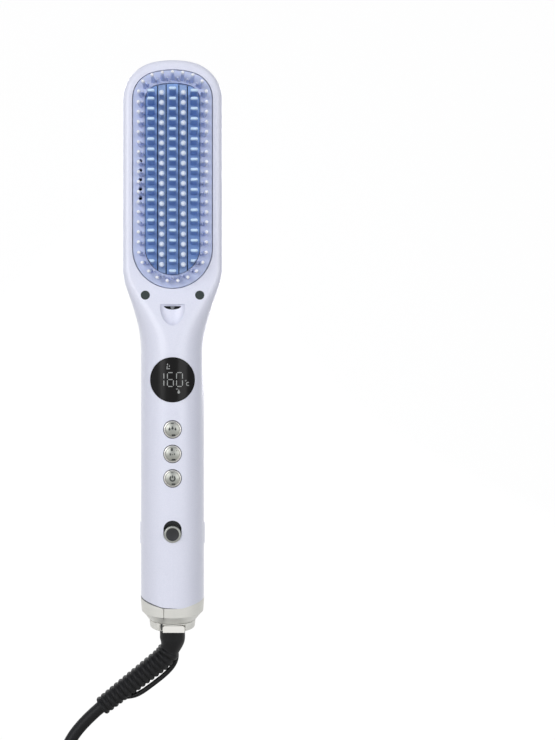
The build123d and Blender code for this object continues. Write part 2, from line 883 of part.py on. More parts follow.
def switchSeat():
    """The dark slotted seat that closes the switch opening from inside."""
    face = Pos(0, switch_z) * SlotOverall(
        switch_height + 2 * switch_seat_thickness, 2 * (switch_half_width + switch_seat_thickness),
        rotation=quarter_turn,
    )
    y0 = seat_y
    seat = prism(face, y0, y0 + switch_seat_thickness)
    slot = block(
        -stem_half - fit_gap, stem_half + fit_gap, y0 - overrun, y0 + overrun,
        knob_z - stem_half - fit_gap, knob_z + knob_travel + stem_half + fit_gap,
    )
    return seat - slot


seat_y = -frontDepth(switch_half_width) + wall + knob_depth / 2
knob_z = switch_z - switch_height / 2 + knob_radius + fit_gap


def slideKnob():
    """The silver knob of the slide switch, with its stem and the recess for its cap."""
    top_y = -handle_depth - knob_proud
    knob = rodY(0, knob_z, knob_radius, top_y, seat_y - move_gap / 2)
    knob = fillet(knob.edges().group_by(Axis.Y)[0], knob_proud / 2)
    stem = block(
        -stem_half, stem_half, seat_y - move_gap, seat_y + switch_seat_thickness + move_gap,
        knob_z - stem_half, knob_z + stem_half,
    )
    recess = rodY(0, knob_z, cap_radius + seat_gap, top_y - overrun, top_y + cap_depth)
    return knob + stem - recess


def knobCap():
    top_y = -handle_depth - knob_proud
    cap = rodY(0, knob_z, cap_radius, top_y + cap_dish / 2, top_y + cap_depth)
    radius = (cap_radius ** 2 + cap_dish ** 2) / (2 * cap_dish)
    return cap - Pos(0, top_y + cap_dish / 2 + cap_dish - radius, knob_z) * Sphere(radius)


def switchBody():
    y0 = seat_y + switch_seat_thickness + fit_gap
    half = stem_half * 3
    low, high = switch_z - switch_height / 2, switch_z + switch_height / 2
    body = block(-half, half, y0, y0 + switch_body_depth, low, high)
    slot = block(
        -stem_half - move_gap, stem_half + move_gap, y0 - overrun, y0 + 2 * move_gap,
        knob_z - stem_half - move_gap, knob_z + knob_travel + stem_half + move_gap,
    )
    return body - slot


main_post_places = [main_board_low_z + 2 * screw_head, main_board_top_z - 2 * screw_head]


def mainBoard():
    """The main circuit board with its larger components."""
    board = block(
        -main_board_half_width, main_board_half_width, main_board_y, main_board_y + board_thickness,
        main_board_low_z, main_board_top_z,
    )
    length = main_board_top_z - main_board_low_z
    for along_share, across_share, size_share in component_shares:
        z = main_board_low_z + length * along_share
        x = main_board_half_width * across_share
        half = main_board_half_width * size_share
        board += block(x - half, x + half, main_board_y - component_height, main_board_y, z - half, z + half)
    return board


def boardScrews():
    heads = [
        rodY(x, z, post_radius, main_board_y - screw_shank, main_board_y)
        for x in (-post_x, post_x) for z in main_post_places
    ]
    return Compound(children=heads)


# Pump and hoses

pump_z = tank_bottom_z + pump_rise
pump_radius = (handle_depth - wall - pump_cradle - elbow_length) / 2
pump_y = -elbow_length - pump_radius
nipple_y = pump_y + pump_radius / 2


def waterPump():
    """The small pump at the handle's end, with its motor and its two nipples."""
    motor = Pos(0, pump_y, pump_z) * Cylinder(pump_radius, pump_length)
    nipple_z = pump_z + pump_length / 2
    out = Pos(pump_radius / 2, nipple_y, nipple_z + tube_radius / 2) * Cylinder(tube_bore, tube_radius)
    return motor + out


def suctionElbow():
    """The elbow from the valve seat in the bay floor to the pump's side."""
    y0, y1 = pump_y + pump_radius, -seat_gap
    elbow = rodY(0, valve_z, tube_radius, y0 - tube_radius / 4, y1) - waterPump()
    return elbow - rodY(0, valve_z, tube_bore, pump_y, overrun)


def deliveryTube():
    """The hose from the pump up the handle's side to the steam chamber."""
    start_z = pump_z + pump_length / 2 + tube_radius + seat_gap
    chamber_y = tray_back_y + fit_gap + chamber_depth / 2
    end_x = chamber_width / 2 - 2 * tube_radius
    end = chamber_bottom_z - tube_radius - seat_gap
    low_z = start_z + 2 * tube_radius
    high_z = main_board_top_z + 3 * tube_radius
    return tube([
        (pump_radius / 2, nipple_y, start_z), (pump_radius / 2, nipple_y, low_z),
        (hose_x, nipple_y, low_z + hose_x), (hose_x, nipple_y, high_z),
        (end_x, chamber_y, end - 4 * tube_radius), (end_x, chamber_y, end),
    ], tube_radius, tube_bore, 2 * tube_radius)


# Rear shell and water tank

def tankOutline(inset):
    half = tank_half_width - inset
    top = archSide(half, tank_top_z - inset, 0, tank_top_arch - inset, tank_top_corner - inset)
    low = archSide(half, -(tank_bottom_z + inset), 0, tank_low_arch - inset, tank_low_corner - inset)
    low = [edge.mirror(Plane.XZ) for edge in low]
    edges = top + low
    return make_face(Curve() + edges + [edge.mirror(Plane.YZ) for edge in edges])


def tankInner(inset):
    """The narrower part of the tank that sits between the bay's side walls."""
    shift = tank_half_width - tank_inner_half
    return tankOutline(shift + inset)


def tankSpace(inset, floor_inset):
    """The tank's whole outer form, or the same set in by a wall."""
    back = handle_depth + overrun
    lip = prism(tankOutline(inset), tank_lip_y + inset, back)
    deep = prism(tankInner(inset), tank_floor_y + floor_inset, back)
    return lip + deep


def tabPocket(side, extra):
    """The room in the tank's side that a pressed tab moves into, open to the tank's front."""
    x0, x1 = tank_inner_half - tab_reach - tab_travel - extra, tank_half_width + overrun
    reach = tab_flange + extra
    pocket = block(
        x0, x1, 0, tab_y + tab_half_depth + reach, tab_z - tab_height / 2 - reach, tab_z + tab_height / 2 + reach
    )
    return pocket if side > 0 else pocket.mirror(Plane.YZ)


def portOpening(grow):
    face = RectangleRounded(2 * (port_half_width + grow), 2 * (port_half_height + grow), port_round + grow)
    return Pos(0, port_z) * face


def tankShell():
    """The smoked tank: one hollow moulding, flush with the handle's back."""
    form = tankSpace(0, 0) & outer
    hollow = tankSpace(tank_wall, tank_wall) & skin(tank_wall, end_z)
    pockets = tabPocket(-1, move_gap) + tabPocket(1, move_gap)
    pocket_walls = tabPocket(-1, move_gap + tank_wall) + tabPocket(1, move_gap + tank_wall)
    tank = form - (hollow - pocket_walls) - pockets
    tank -= prism(portOpening(-port_round / 2), handle_depth - 2 * port_depth, handle_depth + overrun)
    well = prism(portOpening(tank_wall), handle_depth - port_depth - tank_wall, handle_depth) & outer
    tank += well
    tank -= prism(portOpening(seat_gap), handle_depth - port_depth, handle_depth + overrun)
    tank -= prism(Pos(0, port_z) * Rectangle(2 * port_slot_half_width, 2 * port_slot_half_height),
                  handle_depth - port_depth - 2 * tank_wall, handle_depth)
    tank += tankMarks()
    return tank - rodY(0, valve_z, valve_radius + seat_gap, 0, tank_floor_y + 2 * tank_wall)


def portFrame():
    """The white frame of the filling port, set in the tank's back."""
    y0, y1 = handle_depth - port_depth + seat_gap, handle_depth + port_proud
    frame = prism(portOpening(0), y0, y1)
    frame = fillet(frame.edges().group_by(Axis.Y)[-1], port_proud)
    hole = Pos(0, port_z) * RectangleRounded(2 * port_slot_half_width, 2 * port_slot_half_height, port_round / 2)
    return frame - prism(hole, y0 - overrun, y1 + overrun)


def portStopper():
    """The dark stopper that fills the port, with its slanted grip."""
    gap = fit_gap
    half_w, half_h = port_slot_half_width - gap, port_slot_half_height - gap
    y0 = handle_depth - port_depth - tank_wall
    face = Pos(0, port_z) * RectangleRounded(2 * half_w, 2 * half_h, port_round / 2)
    stopper = prism(face, y0, handle_depth - stopper_recess)
    low, high = half_w * grip_shares[0], half_w * grip_shares[1]
    grip = Polygon((-low, -half_h / 2), (low, -half_h / 2), (high, half_h / 2), (-high, half_h / 2), align=None)
    return stopper + prism(Pos(0, port_z) * grip, handle_depth - stopper_recess, handle_depth)


def tankValve():
    """The spring valve in the tank's front face, which the bay floor's seal grips."""
    y0 = bay_floor + seat_gap
    body = rodY(0, valve_z, valve_radius, y0, tank_floor_y + 2 * tank_wall)
    body += rodY(0, valve_z, valve_radius - seal_wall / 2, fit_gap, y0)
    return body - rodY(0, valve_z, valve_bore, -overrun, handle_depth / 2)


def valveDisc():
    """The round filter disc on the inside of the tank's floor."""
    y0 = tank_floor_y + tank_wall + seat_gap
    return rodY(0, disc_z, disc_radius, y0, y0 + disc_thickness)


def tankMarks():
    """What shows through the smoke on the tank's floor: a stepped rail, a ring on a stem and a low baffle."""
    y0 = tank_floor_y + tank_wall / 2
    y1 = tank_floor_y + tank_wall + level_height
    half = tank_inner_half - tank_wall / 2
    thin = level_height / 2
    marks = block(-half, 0, y0, y1, level_z, level_z + level_height)
    marks += block(0, half, y0, y1, level_z - level_step, level_z - level_step + level_height)
    marks += block(-thin, thin, y0, y1, level_z - level_step, level_z + level_height)
    marks += rodY(0, ring_z, ring_radius, y0, y1) - rodY(0, ring_z, ring_radius - ring_wall, 0, handle_depth)
    marks += block(-thin, thin, y0, y1, ring_z + ring_radius - ring_wall / 2, level_z - level_step)
    marks += block(-half, half, y0, y1 + level_step, baffle_z - thin, baffle_z + thin)
    for x in (-boss_x, boss_x):
        marks += rodY(x, boss_z, small_boss_radius, y0, y1)
    return marks


def rearShell():
    """The rear half of the body, with the bay that the tank sits in."""
    half_space = block(
        -head_half_width - overrun, head_half_width + overrun, 0, handle_depth + overrun,
        end_z - overrun, arch_top_z + overrun,
    )
    shell = (outer - inner) & half_space
    bay = tankInner(-bay_gap - wall)
    shell += prism(bay, 0, handle_depth) & outer
    for x in (-plug_x, plug_x):
        shell += screwBoss(x, screw_shank + 2 * boss_wall, 0, handle_depth)
    shell -= prism(tankOutline(-bay_gap), tank_lip_y - bay_gap, handle_depth + overrun)
    shell -= prism(tankInner(-bay_gap), bay_floor, handle_depth + overrun)
    shell -= rodY(0, valve_z, valve_radius + seal_wall, -overrun, overrun)
    for x in (-post_x, post_x):
        for z in main_post_places:
            shell += rodY(x, z, post_radius, main_board_y + board_thickness + seat_gap, bay_floor / 2)
    for x in (-plug_x, plug_x):
        shell -= rodY(x, plug_z, screw_shank + seat_gap, -overrun, rear_boss_end_y - wall + fit_gap)
    for side in (-1, 1):
        shell -= tabBody(side, fit_gap)
        shell -= tabFlange(side, fit_gap, tab_travel)
    return shell


def valveSeal():
    seal = rodY(0, valve_z, valve_radius + seal_wall - seat_gap, 0, bay_floor)
    return seal - rodY(0, valve_z, valve_radius - seal_wall / 2 + seat_gap, -overrun, overrun)


def tabFace(extra):
    return SlotOverall(tab_height + 2 * extra, 2 * (tab_half_depth + extra), rotation=quarter_turn)


def tabBody(side, extra):
    """A release tab's thumb pad, reaching from outside the handle into the bay."""
    x0 = tank_inner_half + bay_gap - tab_reach - (overrun if extra else 0)
    x1 = handle_half_width + tab_proud + (overrun if extra else 0)
    rod = extrude(Plane.YZ.offset(x0) * Pos(tab_y, tab_z) * tabFace(extra), amount=x1 - x0)
    return rod if side > 0 else rod.mirror(Plane.YZ)


def tabFlange(side, extra, travel):
    """The tab's collar inside the shell's side wall, which stops it from falling out."""
    x0 = tank_inner_half + bay_gap - travel - (overrun if extra else 0)
    x1 = tank_inner_half + bay_gap + tab_flange + extra / 2
    rod = extrude(Plane.YZ.offset(x0) * Pos(tab_y, tab_z) * tabFace(tab_flange + extra), amount=x1 - x0)
    return rod if side > 0 else rod.mirror(Plane.YZ)


def releaseTab(side):
    pad = tabBody(side, 0)
    x1 = handle_half_width + tab_proud
    outermost = [e for e in pad.edges() if abs(abs(e.center().X) - x1) < seam]
    pad = fillet(outermost, tab_proud)
    return pad + tabFlange(side, 0, 0)


# Collar and swivel

def collarSection(z, half, depth):
    return Pos(0, 0, z) * Ellipse(half, depth)


collar_z = end_z - seat_gap
slope_z = collar_z - collar_side
collar_foot_z = slope_z - collar_slope
ring_top_z = collar_foot_z - ring_gap
ring_foot_z = ring_top_z - swivel_height
bush_top_z = collar_foot_z + seat_gap + bush_height


def collarBand():
    """The fixed silver collar: straight, then sloping in to the swivel ring."""
    half, depth = handle_half_width - collar_inset, handle_depth - collar_inset
    side = extrude(collarSection(slope_z, half, depth), amount=collar_side)
    slope = loft([collarSection(collar_foot_z, collar_foot_radius, collar_foot_radius), collarSection(slope_z, half, depth)])
    inset = wall + fit_gap
    spigot = handleBody(inset, collar_z) & block(
        -half, half, -handle_depth, handle_depth, collar_z, collar_z + spigot_height
    )
    spigot -= handleBody(inset + spigot_wall, collar_z - overrun)
    band = side + slope + spigot
    band -= rodZ(bush_radius + seat_gap, collar_foot_z - overrun, collar_z + overrun)
    groove_x = -handle_half_width * seam_share
    band -= block(
        groove_x - seam / 2, groove_x + seam / 2, -handle_depth - overrun, -bush_radius - wall,
        slope_z - collar_slope * seam_share, collar_z - seam,
    )
    return band


seam_share = 0.27


def swivelBush():
    bush = rodZ(bush_radius, collar_foot_z, bush_top_z)
    return bush - rodZ(shaft_radius + running_gap, collar_foot_z - overrun, bush_top_z + overrun)


shaft_top_z = bush_top_z + shaft_head


def swivelRing():
    """The turning ring with its hollow shaft, which the bush carries."""
    ring = loft([
        Pos(0, 0, ring_foot_z) * Circle(swivel_foot_radius), Pos(0, 0, ring_top_z) * Circle(swivel_top_radius),
    ])
    ring = fillet(ring.edges().group_by(Axis.Z)[0], swivel_edge)
    ring += rodZ(shaft_radius, ring_top_z - seam, shaft_top_z)
    ring -= rodZ(shaft_bore, ring_foot_z - overrun, shaft_top_z + overrun)
    ring -= rodZ(relief_radius + fit_gap, ring_foot_z - overrun, ring_foot_z + relief_seat + fit_gap)
    ring -= block(
        -notch_half_width, notch_half_width, -swivel_top_radius - overrun, -swivel_top_radius + notch_depth,
        ring_foot_z - overrun, ring_top_z - notch_roof,
    )
    groove = rodZ(shaft_radius + overrun, clip_z, clip_z + clip_thickness + fit_gap) - rodZ(
        shaft_radius - clip_thickness, clip_z, clip_z + clip_thickness + fit_gap)
    return ring - groove


clip_z = bush_top_z + fit_gap


def swivelBlock():
    """The rounded block in the ring's notch that holds the cord end."""
    y_face = -swivel_top_radius + block_set_back
    z0, z1 = ring_foot_z - seat_gap, ring_top_z - notch_roof - seam
    body = block(
        -block_half_width + block_shift, block_half_width + block_shift, y_face, -swivel_top_radius + notch_depth - seat_gap, z0, z1
    )
    edges = [e for e in body.edges().filter_by(Axis.Y) if e.center().Z > z0 + seam]
    return fillet(edges, notch_depth / 3)


def retainingClip():
    clip = rodZ(clip_radius, clip_z + seat_gap, clip_z + seat_gap + clip_thickness)
    clip -= rodZ(shaft_radius - clip_thickness + seat_gap, clip_z - overrun, clip_z + overrun)
    return clip - block(-shaft_radius / 2, shaft_radius / 2, 0, clip_radius + overrun, clip_z - overrun, clip_z + overrun)


def slipDisc():
    """The insulating disc on the shaft's top, with its two brass tracks."""
    z0 = shaft_top_z + seat_gap
    disc = rodZ(shaft_radius, z0, z0 + slip_thickness)
    return disc + rodZ(spring_length / 2 - spring_width / 2, z0 + slip_thickness, z0 + slip_thickness + spring_thickness)


def contactHolder():
    """The fixed disc above the slip disc that carries the contact springs."""
    z0 = shaft_top_z + seat_gap + slip_thickness + contact_lift
    half = handle_half_width - wall - fit_gap
    disc = handleBody(wall + fit_gap, z0) & block(-half, half, -handle_depth, -wall / 2, z0, z0 + contact_thickness)
    return disc


def contactSprings():
    found = []
    z1 = shaft_top_z + seat_gap + slip_thickness + contact_lift - seat_gap
    z0 = shaft_top_z + seat_gap + slip_thickness + move_gap / 2
    for x in (-spring_length, spring_length):
        leg = block(x - spring_width / 2, x + spring_width / 2, -spring_width * 2, -spring_width * 2 + spring_thickness, z0 + spring_thickness, z1)
        foot = block(x - spring_width / 2, x + spring_width / 2, -spring_width * 2, spring_width, z0, z0 + spring_thickness)
        found.append(leg + foot)
    return Compound(children=found)


# Strain relief, loop, cord, coil and plug

def reliefPath():
    """The relief's middle line: down, a bend to the lower left, then straight."""
    turn = math.radians(relief_turn_share * quarter_turn)
    top = ring_foot_z
    bend_z = top - relief_straight
    end_bend = (-relief_bend * (1 - math.cos(turn)), 0, bend_z - relief_bend * math.sin(turn))
    way = (-math.sin(turn), 0, -math.cos(turn))
    last = tuple(a + relief_run * b for a, b in zip(end_bend, way))
    middle = math.radians(relief_turn_share * quarter_turn / 2)
    on_bend = (-relief_bend * (1 - math.cos(middle)), 0, bend_z - relief_bend * math.sin(middle))
    return [
        Line((0, 0, top), (0, 0, bend_z)), ThreePointArc((0, 0, bend_z), on_bend, end_bend), Line(end_bend, last)
    ]


def reliefPlace(distance):
    """A place on the relief's middle line, as (point, direction)."""
    for edge in relief_edges:
        if distance <= edge.length or edge is relief_edges[-1]:
            break
        distance -= edge.length
    share = min(distance / edge.length, 1)
    return edge.position_at(share), edge.tangent_at(share)


relief_edges = reliefPath()
relief_length = sum(edge.length for edge in relief_edges)


def reliefDisc(distance, radius):
    point, way = reliefPlace(distance)
    return Plane(origin=point, x_dir=(0, 1, 0), z_dir=way) * Circle(radius)


def reliefRadius(distance):
    share = max(distance - relief_smooth, 0) / (relief_length - relief_smooth)
    return mix(relief_neck_radius, relief_end_radius, share)


def strainRelief():
    """The rubber relief: a smooth neck, then ribs that taper towards the cord."""
    discs = [
        reliefDisc(relief_smooth * along, mix(relief_radius, relief_neck_radius, share))
        for along, share in neck_taper_shares
    ]
    count = int((relief_length - relief_smooth - cord_diameter / 2) / rib_pitch)
    for k in range(count):
        start = relief_smooth + rib_pitch * k
        radius = reliefRadius(start)
        for along, out in ((0, -rib_depth), (rib_share, 0), (1 - rib_share, 0), (1, -rib_depth)):
            gap = rib_pitch * (rib_share / 2 + along * (1 - rib_share / 2))
            discs.append(reliefDisc(start + gap, radius + out))
    discs.append(reliefDisc(relief_length, relief_end_radius - rib_depth))
    body = loft(discs, ruled=True)
    head = rodZ(relief_radius, ring_foot_z, ring_foot_z + relief_seat)
    return body + head


def hangingLoop():
    """The thin strap beside the relief: out of its neck, along it and back in near its end."""
    places = []
    for along, out in loop_places:
        point, way = reliefPlace(along)
        places.append(point + Vector(-way.Z, 0, way.X) * out)
    radii = [min(loop_bend, radius) for radius in cornerRadii(places)]
    path = FilletPolyline(*places, radius=radii)
    strap = sweep(Plane(origin=path @ 0, z_dir=path % 0) * Circle(loop_radius), path=path)
    return strap - strainRelief()


def cordRoute():
    """The free cord's points, from the relief's end to the coil's entry, and its corner radii."""
    points = [reliefPlace(relief_length)[0], *[Vector(*p) for p in cord_points], Vector(*coil_entry)]
    return points, cornerRadii(points)


def cord():
    points, radii = cordRoute()
    path = FilletPolyline(*points, radius=radii)
    hose = sweep(Plane(origin=path @ 0, z_dir=path % 0) * Circle(cord_diameter / 2), path=path)
    print("cord radii", [round(r, 1) for r in radii], "length", round(path.length, 1))
    area = math.pi * (cord_diameter / 2) ** 2
    print("cord volume over section times length", round(hose.volume / (area * path.length), 4))
    return hose


def coilPath():
    """The coil's line: half turns that spiral in and out, each fourth one climbing down a layer."""
    x, y, z = coil_entry
    here = Vector(x + cord_diameter, y, z)
    edges = [Line(coil_entry, here)]
    way = 1
    for k in range(half_turns):
        inner_half = halves_a_layer - 1
        apart = abs((k - inner_half + halves_a_layer) % (2 * halves_a_layer) - halves_a_layer)
        radius = coil_inner_radius + turn_step / 2 * apart
        drop = layer_step if k % halves_a_layer == inner_half else 0
        there = here + Vector(0, way * 2 * radius, -drop)
        middle = here + Vector(way * math.hypot(radius, drop / 2), way * radius, -drop / 2)
        edges.append(ThreePointArc(here, middle, there))
        here, way = there, -way
    edges.append(Line(here, here + Vector(way * coil_tail, 0, 0)))
    return edges


def leastGap(edges):
    """The least gap between parts of the coil's tube that aren't neighbours along it."""
    step = cord_diameter / 2
    points, along, run = [], [], 0.0
    for edge in edges:
        count = max(int(edge.length / step), 1)
        for k in range(count):
            points.append(edge.position_at(k / count))
            along.append(run + edge.length * k / count)
        run += edge.length
    least = run
    for i, p in enumerate(points):
        for q, far in zip(points[i + 1:], along[i + 1:]):
            if far - along[i] > 4 * cord_diameter:
                least = min(least, (p - q).length)
    return least - cord_diameter, run


coil_edges = coilPath()


def cordCoil():
    path = Wire(coil_edges)
    start = Plane(origin=coil_edges[0] @ 0, z_dir=coil_edges[0] % 0)
    coil = sweep(start * Circle(cord_diameter / 2), path=path)
    gap, length = leastGap(coil_edges)
    print("coil least gap", round(gap, 2), "length", round(length, 1), "layers", len(coilLayers()))
    return coil


def coilLayers():
    return sorted({round((edge @ 1).Z, 1) for edge in coil_edges})


def cordTie():
    """The band that holds the coil's turns together on its right side."""
    low, high = min(coilLayers()), max(coilLayers())
    centre_y = (coil_edges[0] @ 1).Y + coil_inner_radius + turn_step * (halves_a_layer - 1) / 2
    near = (coil_edges[0] @ 1).X + coil_inner_radius - tie_gap - cord_diameter / 2
    far = (coil_edges[0] @ 1).X + coil_inner_radius + turn_step * (halves_a_layer - 1) / 2 + tie_gap + cord_diameter / 2
    outside = block(
        near - tie_thickness, far + tie_thickness, centre_y - tie_width / 2, centre_y + tie_width / 2,
        low - cord_diameter / 2 - seat_gap - tie_thickness, high + cord_diameter / 2 + tie_gap + tie_thickness,
    )
    outside = fillet(outside.edges().filter_by(Axis.Y), cord_diameter / 2)
    inside = block(
        near, far, centre_y - tie_width, centre_y + tie_width,
        low - cord_diameter / 2 - seat_gap, high + cord_diameter / 2 + tie_gap,
    )
    return outside, inside


def tieBand():
    outside, inside = cordTie()
    return outside - fillet(inside.edges().filter_by(Axis.Y), cord_diameter / 3)


def plugFrame():
    """The place where the plug meets the coil's end: its Z runs along the plug."""
    end, way = coil_edges[-1] @ 1, coil_edges[-1] % 1
    return Plane(origin=end, x_dir=(0, 1, 0), z_dir=way)


def plugBody():
    """A flat two-pin plug, with its tapered neck on the cord."""
    place = plugFrame()
    neck = loft([
        place * Circle(cord_diameter / 2 + tie_thickness / 2),
        place.offset(plug_neck) * Circle(cord_diameter / 2 + tie_thickness),
    ])
    body_face = RectangleRounded(2 * plug_half_breadth, 2 * plug_half_depth, plug_round)
    shift = plug_half_depth - cord_diameter / 2
    up = 1 if place.y_dir.Z > 0 else -1
    body = extrude(place.offset(plug_neck - tie_thickness) * Pos(0, up * shift) * body_face, amount=plug_length - plug_neck)
    floor_z = min(coilLayers()) - cord_diameter / 2
    far = place.origin.length + plug_length
    flat = block(-far, far, -far, far, floor_z - overrun, floor_z)
    return body + neck - flat


def plugPins():
    place = plugFrame()
    up = 1 if place.y_dir.Z > 0 else -1
    shift = plug_half_depth - cord_diameter / 2
    found = []
    for side in (-1, 1):
        foot = place.offset(plug_length - tie_thickness + seat_gap) * Pos(side * pin_spacing / 2, up * shift)
        pin = extrude(foot * Circle(pin_radius), amount=pin_length)
        found.append(pin)
    return Compound(children=[solid for piece in found for solid in piece.solids()])


def combs():
    edge, gap = side_edge, strip_gap
    return {
        "comb_centre": heatedComb(0, -comb_width / 2, comb_width / 2, centre_teeth),
        "comb_left": heatedComb(-edge - comb_width / 2, -zone_half_width, -edge, side_teeth),
        "comb_right": heatedComb(edge + comb_width / 2, edge, zone_half_width, side_teeth),
        "bristle_strip_left": bristleStrip(-strip_x, -edge + gap, -comb_width / 2 - gap),
        "bristle_strip_right": bristleStrip(strip_x, comb_width / 2 + gap, edge - gap),
    }


def buttonNodes():
    names = ["power_button", "mode_button", "steam_button"]
    return {name: button(z) for name, z in zip(names, button_places)}


def allNodes():
    yield "front_shell", frontShell
    yield "rear_shell", rearShell
    yield "bristle_ring", bristleRing
    yield "heater_plate", heaterPlate
    yield "heater_elements", heaterElements
    yield "heater_tray", heaterTray
    yield "thermistor", lambda: sensorAt(-element_width, sensor_radius, sensor_length)
    yield "thermal_fuse", lambda: sensorAt(element_width, fuse_radius, fuse_length)
    yield "steam_chamber", steamChamber
    yield "steam_outlet_bar", steamBar
    yield "steam_tube", steamTube
    yield "water_pump", waterPump
    yield "suction_elbow", suctionElbow
    yield "delivery_tube", deliveryTube
    yield "ion_outlet", ionOutlet
    yield "ion_needle", ionNeedle
    yield "screw_plugs", screwPlugs
    yield "neck_screws", neckScrews
    yield "display_window", displayWindow
    yield "display_module", displayModule
    yield "control_board", controlBoard
    yield "button_bezels", lambda: Compound(children=[bezel(z) for z in button_places])
    yield "tact_switches", tactSwitches
    yield "switch_seat", switchSeat
    yield "slide_knob", slideKnob
    yield "knob_cap", knobCap
    yield "slide_switch_body", switchBody
    yield "main_board", mainBoard
    yield "board_screws", boardScrews
    yield "tank_shell", tankShell
    yield "port_frame", portFrame
    yield "port_stopper", portStopper
    yield "tank_valve", tankValve
    yield "tank_filter", valveDisc
    yield "valve_seal", valveSeal
    yield "release_tab_left", lambda: releaseTab(-1)
    yield "release_tab_right", lambda: releaseTab(1)
    yield "collar_band", collarBand
    yield "swivel_bush", swivelBush
    yield "swivel_ring", swivelRing
    yield "swivel_block", swivelBlock
    yield "retaining_clip", retainingClip
    yield "slip_disc", slipDisc
    yield "contact_holder", contactHolder
    yield "contact_springs", contactSprings
    yield "strain_relief", strainRelief
    yield "hanging_loop", hangingLoop
    yield "cord", cord
    yield "cord_coil", cordCoil
    yield "cord_tie", tieBand
    yield "plug_body", plugBody
    yield "plug_pins", plugPins


os.makedirs("parts", exist_ok=True)
for node, make in allNodes():
    export_step(make(), f"parts/{node}.step")
for node, shape in {**combs(), **buttonNodes()}.items():
    export_step(shape, f"parts/{node}.step")
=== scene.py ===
import bpy, bmesh, math
from mathutils import Vector, Matrix


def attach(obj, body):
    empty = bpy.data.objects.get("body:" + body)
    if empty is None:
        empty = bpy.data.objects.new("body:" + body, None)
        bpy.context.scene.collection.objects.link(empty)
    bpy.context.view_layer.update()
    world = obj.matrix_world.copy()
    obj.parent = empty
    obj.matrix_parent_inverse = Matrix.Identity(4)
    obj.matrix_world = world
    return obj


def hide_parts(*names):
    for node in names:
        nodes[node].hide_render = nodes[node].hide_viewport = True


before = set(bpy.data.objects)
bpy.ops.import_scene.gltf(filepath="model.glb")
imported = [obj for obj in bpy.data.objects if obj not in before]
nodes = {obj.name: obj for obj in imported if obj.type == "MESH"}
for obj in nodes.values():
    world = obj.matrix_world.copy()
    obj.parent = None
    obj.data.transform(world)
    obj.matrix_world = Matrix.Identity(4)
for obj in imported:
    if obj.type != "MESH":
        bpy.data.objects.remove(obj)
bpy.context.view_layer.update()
mm = 0.001
print("frame loaded:", len(nodes), "nodes")


def placeObject(title, data):
    made = bpy.data.objects.new(title, data)
    bpy.context.scene.collection.objects.link(made)
    return made


# Camera first

cameraPlan = {
    "place": (0, -430 * mm, 53 * mm),     # looks along +Y at the front of the handle
    "lens": 41.84, "nearest": 0.01,
    "shiftX": 105 / 740,                  # the brush stands in the left half of the picture
}
cameraData = bpy.data.cameras.new("photoCamera")
cameraData.lens = cameraPlan["lens"]
cameraData.shift_x = cameraPlan["shiftX"]
cameraData.clip_start = cameraPlan["nearest"]
camera = placeObject("photoCamera", cameraData)
camera.location = cameraPlan["place"]
camera.rotation_euler = (math.radians(90), 0, 0)
bpy.context.scene.camera = camera
bpy.context.scene.view_settings.view_transform = "Standard"


# Node helpers

def newGroup(name, inputs, outputs):
    group = bpy.data.node_groups.new(name, "ShaderNodeTree")
    for title, kind, value in inputs:
        socket = group.interface.new_socket(name=title, in_out="INPUT", socket_type=kind)
        socket.default_value = value
    for title, kind in outputs:
        group.interface.new_socket(name=title, in_out="OUTPUT", socket_type=kind)
    return group, group.nodes.new("NodeGroupInput"), group.nodes.new("NodeGroupOutput")


def feed(tree, socket, value):
    if isinstance(value, bpy.types.NodeSocket):
        tree.links.new(value, socket)
    else:
        socket.default_value = value


def maths(tree, operation, *values):
    made = tree.nodes.new("ShaderNodeMath")
    made.operation = operation
    for socket, value in zip(made.inputs, values):
        feed(tree, socket, value)
    return made.outputs[0]


def noise(tree, vector, scale, detail):
    made = tree.nodes.new("ShaderNodeTexNoise")
    feed(tree, made.inputs["Vector"], vector)
    feed(tree, made.inputs["Scale"], scale)
    feed(tree, made.inputs["Detail"], detail)
    return made.outputs["Fac"]


def mapRange(tree, value, interpolation="LINEAR", **ends):
    made = tree.nodes.new("ShaderNodeMapRange")
    made.interpolation_type = interpolation
    feed(tree, made.inputs["Value"], value)
    for key, end in ends.items():
        feed(tree, made.inputs[key.replace("_", " ")], end)
    return made.outputs[0]


def mixValues(tree, share, low, high):
    made = tree.nodes.new("ShaderNodeMix")
    for socket, value in zip((made.inputs[0], made.inputs[2], made.inputs[3]), (share, low, high)):
        feed(tree, socket, value)
    return made.outputs[0]


def mixColors(tree, share, low, high):
    made = tree.nodes.new("ShaderNodeMix")
    made.data_type = "RGBA"
    for socket, value in zip((made.inputs[0], made.inputs[6], made.inputs[7]), (share, low, high)):
        feed(tree, socket, value)
    return made.outputs[2]


def objectPlace(tree):
    return tree.nodes.new("ShaderNodeTexCoord").outputs["Object"]


def splitPlace(tree, vector):
    parts = tree.nodes.new("ShaderNodeSeparateXYZ")
    tree.links.new(vector, parts.inputs[0])
    return parts.outputs


# Shared shader effects

surfaceOutputs = [("Color", "NodeSocketColor"), ("Roughness", "NodeSocketFloat"), ("Normal", "NodeSocketVector")]


def endSurface(tree, start, end, value, rough, height, distance):
    # the same end for every grain: a tint by value, a roughness and a bump
    tint = tree.nodes.new("ShaderNodeHueSaturation")
    tree.links.new(start.outputs["Base"], tint.inputs["Color"])
    tree.links.new(value, tint.inputs["Value"])
    bump = tree.nodes.new("ShaderNodeBump")
    bump.inputs["Distance"].default_value = distance
    tree.links.new(start.outputs["Depth"], bump.inputs["Strength"])
    tree.links.new(height, bump.inputs["Height"])
    for source, title in ((tint.outputs["Color"], "Color"), (rough, "Roughness"), (bump.outputs["Normal"], "Normal")):
        tree.links.new(source, end.inputs[title])
    return tree


